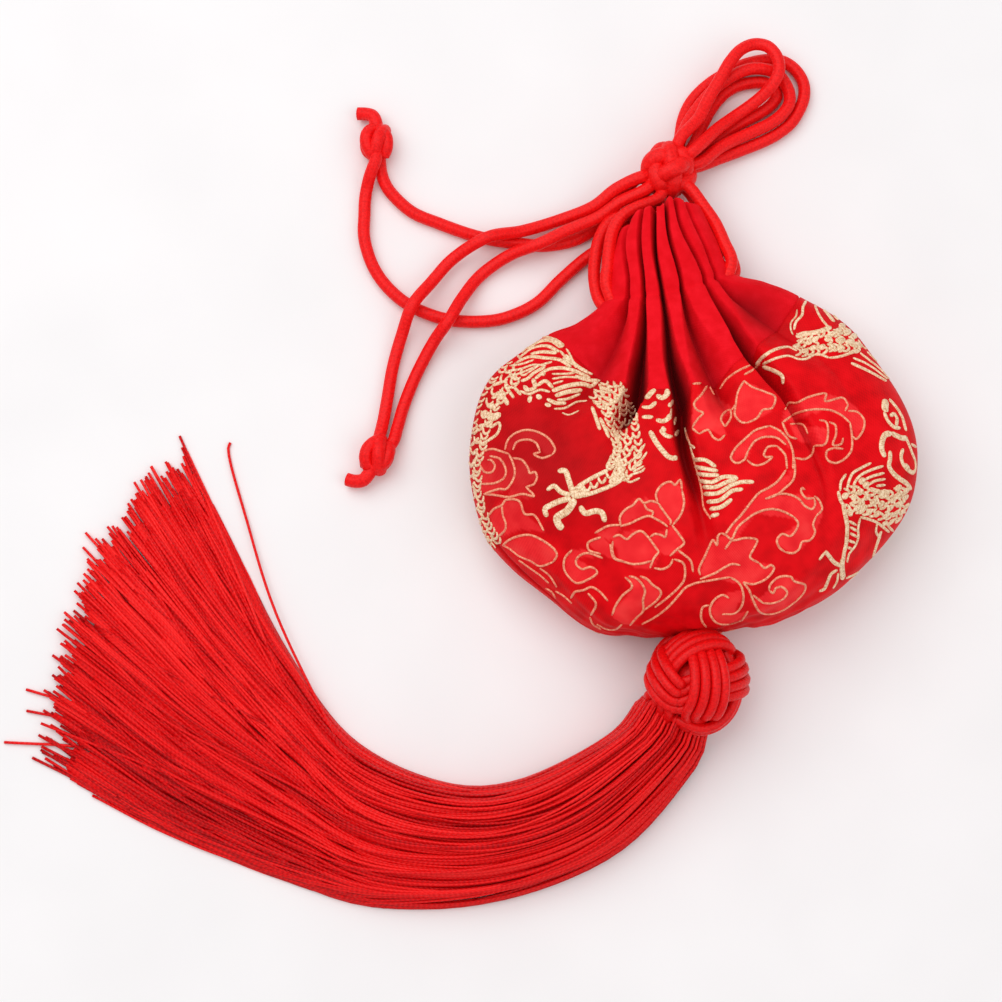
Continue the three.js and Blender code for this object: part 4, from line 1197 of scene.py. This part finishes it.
def inside(x, y, corners):
    """Which of the points lie inside an outline."""
    within = np.zeros(x.shape, bool)
    for (ax, ay), (bx, by) in zip(corners, corners[1:] + corners[:1]):
        crosses = (ay > y) != (by > y)
        reach = (bx - ax) * (y - ay) / ((by - ay) or 1.0) + ax
        within ^= crosses & (x < reach)
    return within


def petal_share(points):
    """1 where the cloth is woven in the lighter red and 0 elsewhere."""
    x, y = photo_pixels(points)
    share = np.zeros(x.shape)
    for corners in PETALS:
        outline = [tuple(point) for point in curve_through(corners + corners[:1], PETAL_STEP)]
        share[inside(x, y, outline)] = 1.0
    return share


def gold_material(name, dark, middle, light):
    shader = Shader(name)
    turns = shader.math("MULTIPLY", shader.stored("along"), 2 * math.pi / (0.4 * MILLIMETRE))
    ridges = shader.math("SINE", turns)
    tone = shader.varied(shader.mottle(scale=2200), ridges, share=0.06)
    return shader.finish(
        Base_Color=shader.ramp(tone, {0.28: dark, 0.5: middle, 0.7: light}),
        Roughness=0.38,
        Normal=shader.bump(ridges, strength=0.15, distance=0.1 * MILLIMETRE),
    )


def add_thread_work(name, lines, find, step, material):
    return add_threads("pattern_" + name, thread_work(lines, find, step), material, "brocade")


# Knots

BUTTON_AXIS = (0.42, 0.9, 0.1)
BALL_CENTRE = np.array([41.7, -33.3, 10.7])
BALL_AXIS = (-0.445, -0.79, 0.417)
# How they are woven: turns round the axis, bights at each end, radius, swing from the middle in radians,
# rise and dip at the crossings, and the turn at the start
BUTTON_WEAVE = {"leads": 4, "bights": 5, "radius": 3.75, "swing": 1.08, "lift": 0.6, "turned": 0.3}
BALL_WEAVE = {"leads": 3, "bights": 4, "radius": 8.75, "swing": 1.05, "lift": 0.95, "turned": 0.4}
WEAVE_SAMPLES = 420
BUTTON_STRAND = 3.5
BUTTON_SIDES = 14
BUTTON_CORE_RADIUS = 3.4
BUTTON_CORE_HALF = 4
# The ball's strands lie side by side and press on each other a little
BALL_STRANDS = 4
BALL_STRAND_STEP = 1.92
BALL_STRAND = BALL_STRAND_STEP * 1.04
BALL_SIDES = 10
BALL_CORE_RADIUS = 6.8
BALL_CORE_REACH = 0.999
BALL_CORE_RINGS = 15
BALL_CORE_SIDES = 24
# Where each end knot starts on the table and which way it points
END_KNOTS = {"end_knot_1": ((-21.0, 74.9), (-0.2, 0.98)), "end_knot_2": ((-19.5, 15.0), (-0.54, -0.84))}
# On which side of its cords each end knot's tail lies: 1 to the left of its heading, -1 to the right
END_KNOT_TAILS = {"end_knot_1": 1, "end_knot_2": -1}
END_KNOT_STRAND = 2.7
END_KNOT_CORE = 3.2
END_KNOT_STEP = 0.35
END_KNOT_SIDES = 14
# The strands of an end knot, in millimetres ahead of its start, beside it and above the table
END_KNOT_ROUTES = [
    [(-0.9, 0.5, 3.0), (0.7, 1.4, 4.0), (2.6, 1.8, 4.4), (4.4, 1.2, 4.2), (5.4, -0.2, 3.2)],
    [(-0.4, -1.0, 2.8), (1.0, -2.0, 3.6), (2.8, -2.3, 3.8), (4.4, -1.7, 3.6), (5.4, -0.4, 2.8)],
    [(-0.6, 0.9, 3.2), (1.0, 0.2, 4.7), (2.6, -0.7, 5.0), (4.2, -1.7, 4.0), (4.8, -2.4, 2.4)],
    [(0.0, 0.4, 1.6), (1.6, 1.8, 1.6), (3.8, 1.6, 1.7), (5.4, 0.4, 2.0)],
    [(0.0, -0.4, 1.6), (1.6, -2.0, 1.6), (3.8, -1.9, 1.7), (5.4, -0.4, 2.0)],
    [(4.0, -0.5, 2.4), (6.4, -0.9, 2.9), (8.2, -0.6, 2.6), (9.2, 0.7, 2.0), (9.7, 2.3, 1.6)],
]


def axis_frame(axis):
    """Three square directions, the last one along the axis and the first as near to upright as it can be."""
    along = unit(np.array(axis, float))
    upright = unit(np.array([0.0, 0.0, 1.0]) - along * along[2])
    return upright, np.cross(along, upright), along


def woven_knot(centre, axis, weave, offsets, strand, sides):
    """A woven ball: strands that run round it as often as it has leads, and cross over and under."""
    upright, sideways, along = axis_frame(axis)
    leads, bights, radius = weave["leads"], weave["bights"], weave["radius"]
    t = np.linspace(0, 2 * math.pi, WEAVE_SAMPLES, endpoint=False)
    longitude = (leads * t + weave["turned"])[:, None]
    latitude = (weave["swing"] * np.cos(bights * t))[:, None]
    rise = radius + weave["lift"] * np.sin((leads - 1) * bights * t)
    level = np.cos(longitude) * upright + np.sin(longitude) * sideways
    outward = np.cos(latitude) * level + np.sin(latitude) * along
    run = unit(np.roll(outward, -1, 0) - np.roll(outward, 1, 0))
    beside = np.cross(outward, run)
    strands = []
    for offset in offsets:
        path = unit(outward * radius + beside * offset) * rise[:, None]
        strands.append(tube(row_frame(centre + path), strand / 2 * MILLIMETRE, sides, closed=True))
    return strands


def add_button(material):
    strands = woven_knot(BUTTON_CENTRE, BUTTON_AXIS, BUTTON_WEAVE, [0.0], BUTTON_STRAND, BUTTON_SIDES)
    reach = unit(np.array(BUTTON_AXIS)) * BUTTON_CORE_HALF
    ends = row_frame([BUTTON_CENTRE - reach, BUTTON_CENTRE + reach])
    core = tube(ends, BUTTON_CORE_RADIUS * MILLIMETRE, BUTTON_SIDES)
    add_threads("knot_button", [*strands, core], material, "cord", ["button_knot"])


def ball_core():
    """A ball inside the woven one, which shows only through its small holes."""
    rings = np.linspace(-BALL_CORE_REACH, BALL_CORE_REACH, BALL_CORE_RINGS) * BALL_CORE_RADIUS
    path = row_frame(BALL_CENTRE + np.outer(rings, unit(np.array(BALL_AXIS))))
    return tube(path, np.sqrt(BALL_CORE_RADIUS**2 - rings**2) * MILLIMETRE, BALL_CORE_SIDES)


def add_ball(material):
    offsets = [BALL_STRAND_STEP * (index - (BALL_STRANDS - 1) / 2) for index in range(BALL_STRANDS)]
    strands = woven_knot(BALL_CENTRE, BALL_AXIS, BALL_WEAVE, offsets, BALL_STRAND, BALL_SIDES)
    add_threads("knot_ball", [*strands, ball_core()], material, "ball_cord", ["ball_knot"])


def add_end_knot(node, material):
    """A tight overhand knot in a doubled cord, with a short tail that turns to one side."""
    start, heading = END_KNOTS[node]
    ahead = unit(np.array([*heading, 0.0]))
    beside = np.array([-ahead[1], ahead[0], 0.0]) * END_KNOT_TAILS[node]
    parts = []
    for route in END_KNOT_ROUTES:
        points = [np.array([*start, z]) + ahead * a + beside * b for a, b, z in route]
        path = row_frame(curve_through(points, END_KNOT_STEP))
        parts.append(tube(path, END_KNOT_STRAND / 2 * MILLIMETRE, END_KNOT_SIDES))
    return add_threads("knot_" + node, parts, material, "cord", [node])


def ball_material():
    shader = Shader("ball_cord")
    ridge = twist_height(shader, pitch=1.1 * MILLIMETRE)
    tone = shader.varied(shader.mottle(scale=2600), ridge, share=0.03)
    return shader.finish(
        Base_Color=shader.ramp(tone, {0.3: (204, 5, 9), 0.5: (226, 9, 13), 0.72: (240, 18, 20)}),
        Roughness=0.4,
        Specular_IOR_Level=0.2,
        Sheen_Weight=0.05,
        Sheen_Tint=screen_colour(*SILK_SHEEN),
        Normal=shader.bump(ridge, strength=0.12, distance=0.1 * MILLIMETRE),
    )


# Tassel

# Sections from the ball to the fanned end: inner and outer edge on the table, height of the underside,
# thickness
TASSEL_ROWS = np.array([
    (31.0, -35.9, 44.2, -43.0, 3.6, 11.5),
    (24.8, -43.1, 41.5, -50.0, 1.0, 12.8),
    (7.1, -51.8, 27.0, -65.6, 0.0, 12.2),
    (-8.0, -52.0, 4.8, -74.7, 0.0, 11.0),
    (-25.5, -43.4, -18.4, -76.3, 0.0, 9.0),
    (-38.3, -26.2, -36.0, -71.8, 0.0, 7.5),
    (-47.9, -7.8, -61.5, -61.7, 0.0, 5.5),
    (-56.6, 9.4, -79.8, -51.6, 0.0, 4.0),
])
TASSEL_END = len(TASSEL_ROWS) - 1
TASSEL_PLACES = 60
# Where the tassel starts to fan out
FAN_ROW = 3.2
TASSEL_THREADS = 800
TASSEL_BUNDLES = 24
TASSEL_PIECES = 4
TASSEL_RADIUS = 0.3
# How high the middle of the lowest thread lies above the table
TASSEL_LIFT = TASSEL_RADIUS + 0.1
TASSEL_SIDES = 5
TASSEL_SAMPLES = 42
STRAY_STEP = 3.0
# What chance gives each bundle: its share of the width, how far and how often it sways, how far it is
# spread in the fan, how full it is and how much longer
BUNDLE_SHARES = (0.4, 1.6)
BUNDLE_SWAY = (0.01, 0.03)
BUNDLE_WAVES = (0.4, 1.0)
BUNDLE_SPREAD = 0.03
BUNDLE_FULLNESS = (0.78, 1.0)
BUNDLE_LONGER = (-5.0, 2.0)
# How strongly a bundle draws its threads together, and the depth of the grooves between bundles
BUNDLE_PULL = 0.4
GROOVE_DEPTH = 0.26
# How much of the sway and of the grooves is lost in the fan
FAN_CALM = 0.6
FAN_FLATNESS = 0.7
# The fan's end: its reach past the last section, its rounding, and how ragged it is
FAN_REACH = 15.5
FAN_ROUNDING = 0.8
FAN_RAGGED = 15.0
RAGGED_POWER = 2.4
LONG_TIPS = (1.0, 5.0)
LONG_TIP_SHARE = 0.04
LONGEST_TIP = 30.0
INNER_EDGE = 0.11
INNER_STEPS = 20.0
# How far single threads wander across the tassel, and which share crosses the others on top of them
FAN_CROSSING = 0.065
THREAD_WANDER = 0.01
WANDER_WAVES = (0.5, 1.3)
CROSSING_WANDER = 0.055
CROSSING_SHARE = 0.08
CROSSING_LEVELS = 0.12
# The sections between which sway and wander set in below the ball
SWAY_ROWS = (0.5, 2.5)
WANDER_ROWS = (0.4, 2.0)
# How a thread's height ripples, and how square the tassel's section is
RIPPLE = 0.1
RIPPLE_WAVES = (1.0, 2.2)
DOME_POWER = 2.4
# A thread's start inside the ball, and the height of its bend towards the tip, both as shares
ROOT_SHARE = 0.7
BEND_SHARE = 0.55
# The step that spreads the threads evenly over the tassel's width
EVEN_STEP = 0.618034
# How much a thread's lightness owes to its level, as painted shade on the deeper threads, and to chance, as
# its own tone
LEVEL_SHADE = 0.4
CHANCE_SHADE = 0.6
# The fan's painted light and the outer side's painted shade: how strong, and where along a thread they set
# in, in metres
FAN_LIGHT = 0.26
FAN_LIGHT_START = (0.1, 0.17)
OUTER_SHADE = 0.4
OUTER_SHADE_START = (0.06, 0.13)
# Where the outer side starts across the tassel, and where it ends at the rim
OUTER_SIDE = (0.62, 0.84)
OUTER_RIM = (0.96, 0.995)
# Single threads that lie apart from the fan, each from inside the tassel to its tip on the table
STRAY_THREADS = [
    [(-25.0, -50.0, 4.0), (-40.4, -19.0, 2.0), (-46.5, -0.5, 0.8), (-50.6, 14.6, 0.4), (-50.2, 15.8, 0.4)],
    [(-36.0, -40.0, 4.0), (-48.5, -10.0, 2.4), (-55.5, 6.0, 0.3)],
    [(-50.0, -52.0, 3.5), (-76.0, -45.5, 1.0), (-93.6, -44.2, 0.3)],
    [(-50.0, -47.0, 3.5), (-74.0, -38.5, 1.2), (-89.6, -33.8, 0.3)],
    [(-50.0, -49.0, 3.5), (-75.0, -41.0, 1.2), (-89.4, -38.0, 0.3)],
    [(-30.0, -71.2, 2.0), (-49.0, -66.3, 0.8), (-64.0, -60.2, 0.4), (-79.0, -52.2, 0.4)],
    [(-26.0, -72.2, 2.0), (-46.0, -67.8, 0.8), (-62.0, -61.7, 0.4), (-76.0, -54.6, 0.4)],
]


def tassel_sections(places):
    """The tassel's section at each place, on a smooth curve through its rows."""
    before = 2 * TASSEL_ROWS[0] - TASSEL_ROWS[1]
    after = 2 * TASSEL_ROWS[-1] - TASSEL_ROWS[-2]
    return between_rows(np.vstack([before, TASSEL_ROWS, after]), places)


class Bundle:
    """Threads that hang together: how they sway, spread in the fan and stand up from the rest."""

    def __init__(self, start, end):
        self.end = end
        self.middle = (start + end) / 2
        self.width = end - start
        self.sway = chance.uniform(*BUNDLE_SWAY)
        self.waves = chance.uniform(*BUNDLE_WAVES)
        self.phase = chance.uniform(0, 2 * math.pi)
        self.spread = chance.gauss(0, BUNDLE_SPREAD)
        self.full = chance.uniform(*BUNDLE_FULLNESS)
        self.longer = chance.uniform(*BUNDLE_LONGER)


def tip_reach(share, bundle):
    """How far a thread runs past the last section: the fan's end is rounded and ragged."""
    rounded = FAN_REACH * math.sin(math.pi * min(max(share, 0.0), 1.0)) ** FAN_ROUNDING
    longer = chance.uniform(*LONG_TIPS) if chance.random() < LONG_TIP_SHARE else 0.0
    longer -= INNER_STEPS * chance.random() * max(0.0, 1 - share / INNER_EDGE)
    return rounded + longer + bundle.longer - FAN_RAGGED * chance.random() ** RAGGED_POWER


def tassel_thread(index, bundles, places, sections):
    """The path of one thread from inside the ball to its tip, and how high and how far out it lies."""
    share = (index * EVEN_STEP) % 1.0
    bundle = next(bundle for bundle in bundles if share < bundle.end)
    level = chance.random() ** 0.5
    wander = THREAD_WANDER
    if chance.random() < CROSSING_SHARE:
        wander = CROSSING_WANDER
        level = 1 - CROSSING_LEVELS + CROSSING_LEVELS * chance.random()
    fan = smooth_step(places, FAN_ROW, TASSEL_END)
    sway = bundle.sway * np.sin(places * bundle.waves + bundle.phase) * smooth_step(places, *SWAY_ROWS)
    own = wander * np.sin(places * chance.uniform(*WANDER_WAVES) + chance.uniform(0, 2 * math.pi))
    own = own * smooth_step(places, *WANDER_ROWS)
    pulled = share + (bundle.middle - share) * BUNDLE_PULL * (1 - fan)
    spread = (bundle.spread + chance.gauss(0, FAN_CROSSING)) * fan
    across = pulled + sway * (1 - FAN_CALM * fan) + own + spread
    across = 1 - np.abs(1 - np.abs(across))
    plan = sections[:, 0:2] + (sections[:, 2:4] - sections[:, 0:2]) * across[:, None]
    dome = np.sqrt(np.clip(1 - np.abs(2 * across - 1) ** DOME_POWER, 0.0, 1))
    crown = math.cos(math.pi * (share - bundle.middle) / bundle.width)
    groove = 1 - GROOVE_DEPTH + GROOVE_DEPTH * crown * (1 - FAN_FLATNESS * fan)
    room = np.maximum(sections[:, 5] * dome * groove * bundle.full - 2 * TASSEL_RADIUS, 0)
    ripple = RIPPLE * np.sin(places * chance.uniform(*RIPPLE_WAVES) + chance.uniform(0, 2 * math.pi))
    height = sections[:, 4] + TASSEL_LIFT + room * np.clip(level + ripple * (1 - level), 0, 1)
    body = np.column_stack([plan, height])
    ahead = unit(body[-1] - body[-8])
    ahead[2] = 0.0
    tip = body[-1] + LONGEST_TIP * ahead
    tip[2] = TASSEL_LIFT
    bend = (body[-1] + tip) / 2
    bend[2] = max(TASSEL_LIFT, body[-1][2] * BEND_SHARE)
    whole = np.vstack([BALL_CENTRE + (body[0] - BALL_CENTRE) * ROOT_SHARE, body, bend, tip])
    length = length_along(whole)
    kept = np.linspace(0, length[-3] + tip_reach(share, bundle), TASSEL_SAMPLES)
    return np.column_stack([np.interp(kept, length, whole[:, axis]) for axis in range(3)]), level, share


def thread_shade(along, level, share):
    """How light a thread is painted along its length: its own tone by chance, with painted shade on the deep
    threads and on the fan's outer half, and painted light in the fan against painted shade nearer the ball.
    """
    outer = smooth_step(share, *OUTER_SIDE) * (1 - smooth_step(share, *OUTER_RIM))
    deeper = OUTER_SHADE * outer * smooth_step(along, *OUTER_SHADE_START)
    lighter = FAN_LIGHT * (smooth_step(along, *FAN_LIGHT_START) - 0.5)
    return LEVEL_SHADE * level + CHANCE_SHADE * chance.random() + lighter - deeper


def add_tassel(material):
    places = np.linspace(0, TASSEL_END, TASSEL_PLACES)
    sections = tassel_sections(places)
    edges = np.cumsum([0.0] + [chance.uniform(*BUNDLE_SHARES) for _ in range(TASSEL_BUNDLES)])
    edges = edges / edges[-1]
    bundles = [Bundle(start, end) for start, end in zip(edges, edges[1:])]
    each = TASSEL_THREADS // TASSEL_PIECES
    strays = [(curve_through(route, STRAY_STEP), 1.0, 0.0) for route in STRAY_THREADS]
    for piece in range(TASSEL_PIECES):
        paths = [tassel_thread(piece * each + index, bundles, places, sections) for index in range(each)]
        if piece == 0:
            paths += strays
        threads = [tube(row_frame(path), TASSEL_RADIUS * MILLIMETRE, TASSEL_SIDES) for path, _, _ in paths]
        shades = [thread_shade(thread[2], level, share) for thread, (_, level, share) in zip(threads, paths)]
        nodes = ["tassel"] if piece == 0 else []
        name = f"tassel_threads_{piece + 1}"
        add_threads(name, threads, material, "tassel_thread", nodes, shade=np.concatenate(shades))


def tassel_material():
    shader = Shader("tassel_thread")
    ridge = twist_height(shader, pitch=1.0 * MILLIMETRE)
    # The stored shade is each thread's own tone by chance, with painted shade and painted light mixed in
    tone = shader.varied(shader.stored("shade"), ridge, share=0.12)
    return shader.finish(
        Base_Color=shader.ramp(tone, {0.0: (158, 0, 6), 0.5: (230, 8, 13), 1.0: (255, 40, 38)}),
        Roughness=0.36,
        Specular_IOR_Level=0.16,
        Sheen_Weight=0.05,
        Sheen_Tint=screen_colour(*SILK_SHEEN),
        Normal=shader.bump(ridge, strength=0.3, distance=0.1 * MILLIMETRE),
    )


# Table and light, in metres

FLOOR_HALF = 4.0
WORLD_COLOUR = (1.0, 0.99, 0.985, 1.0)
WORLD_STRENGTH = 0.55
# Each lamp's place, what it shines on, its width and its power in watts
LAMPS = {
    "key": ((-0.3, 0.3, 0.74), (0.01, 0.0, 0.0), 0.9, 4.6),
    "fill": ((0.5, -0.3, 0.7), (0.0, 0.0, 0.0), 0.8, 1.7),
}


def add_floor():
    shader = Shader("tabletop")
    tone = shader.ramp(shader.mottle(scale=30), {0.3: (240, 238, 239), 0.7: (244, 242, 243)})
    corners = [(x * FLOOR_HALF, y * FLOOR_HALF, 0) for x, y in ((-1, -1), (1, -1), (1, 1), (-1, 1))]
    mesh = bpy.data.meshes.new("tabletop")
    mesh.from_pydata(corners, [], [(0, 1, 2, 3)])
    mesh.materials.append(shader.finish(Base_Color=tone, Roughness=0.85))
    floor = add_object("tabletop", mesh)


def add_lamp(name, place, target, size, power):
    data = bpy.data.lights.new(name, "AREA")
    data.size = size
    data.energy = power
    lamp = add_object(name, data)
    lamp.location = place
    lamp.rotation_euler = (Vector(target) - Vector(place)).to_track_quat("-Z", "Y").to_euler()


def add_light():
    world = bpy.data.worlds.new("studio")
    world.use_nodes = True
    background = world.node_tree.nodes["Background"]
    background.inputs["Color"].default_value = WORLD_COLOUR
    background.inputs["Strength"].default_value = WORLD_STRENGTH
    bpy.context.scene.world = world
    for name, lamp in LAMPS.items():
        add_lamp(name, *lamp)


# Assembly

bpy.context.scene.view_settings.view_transform = "Standard"
add_camera()
add_floor()
add_light()

cord_silk = cord_material()
cords = {node: add_cord(node, cord_silk) for node in CORD_ROUTES}
end_knots = {node: add_end_knot(node, cord_silk) for node in END_KNOTS}
add_button(cord_silk)
add_ball(ball_material())
add_tassel(tassel_material())

brocade_cloth = brocade_material()
collar_cloth = collar_material()
collar_front = add_collar("collar_front", 1, FRONT_PLEATS, *COLLAR_FRONT_GRID, collar_cloth)
collar_back = add_collar("collar_back", -1, BACK_PLEATS, *COLLAR_BACK_GRID, collar_cloth)
front_cloth, front_tree = add_brocade("brocade_front", 1, FRONT_PLEATS, *BROCADE_FRONT_GRID, brocade_cloth)
back_cloth, back_tree = add_brocade("brocade_back", -1, BACK_PLEATS, *BROCADE_BACK_GRID, brocade_cloth)


def on_front(x, y):
    return front_hit(front_tree, x, y)


def on_back(x, y):
    place = on_front(x, y)[0]
    return (None, None) if place is None else back_hit(back_tree, place)


gold_thread = gold_material("gold_thread", (200, 144, 104), (238, 202, 160), (254, 234, 200))
rose_thread = gold_material("rose_thread", (204, 92, 72), (236, 142, 108), (250, 182, 142))
front_work = [
    add_thread_work("gold_front", GOLD_WORK + scale_lines(), on_front, FRONT_STEP, gold_thread),
    add_thread_work("rose_front", OUTLINE_WORK, on_front, FRONT_STEP, rose_thread),
]
back_work = [
    add_thread_work("gold_back", GOLD_WORK + scale_lines(), on_back, BACK_STEP, gold_thread),
    add_thread_work("rose_back", OUTLINE_WORK, on_back, BACK_STEP, rose_thread),
]
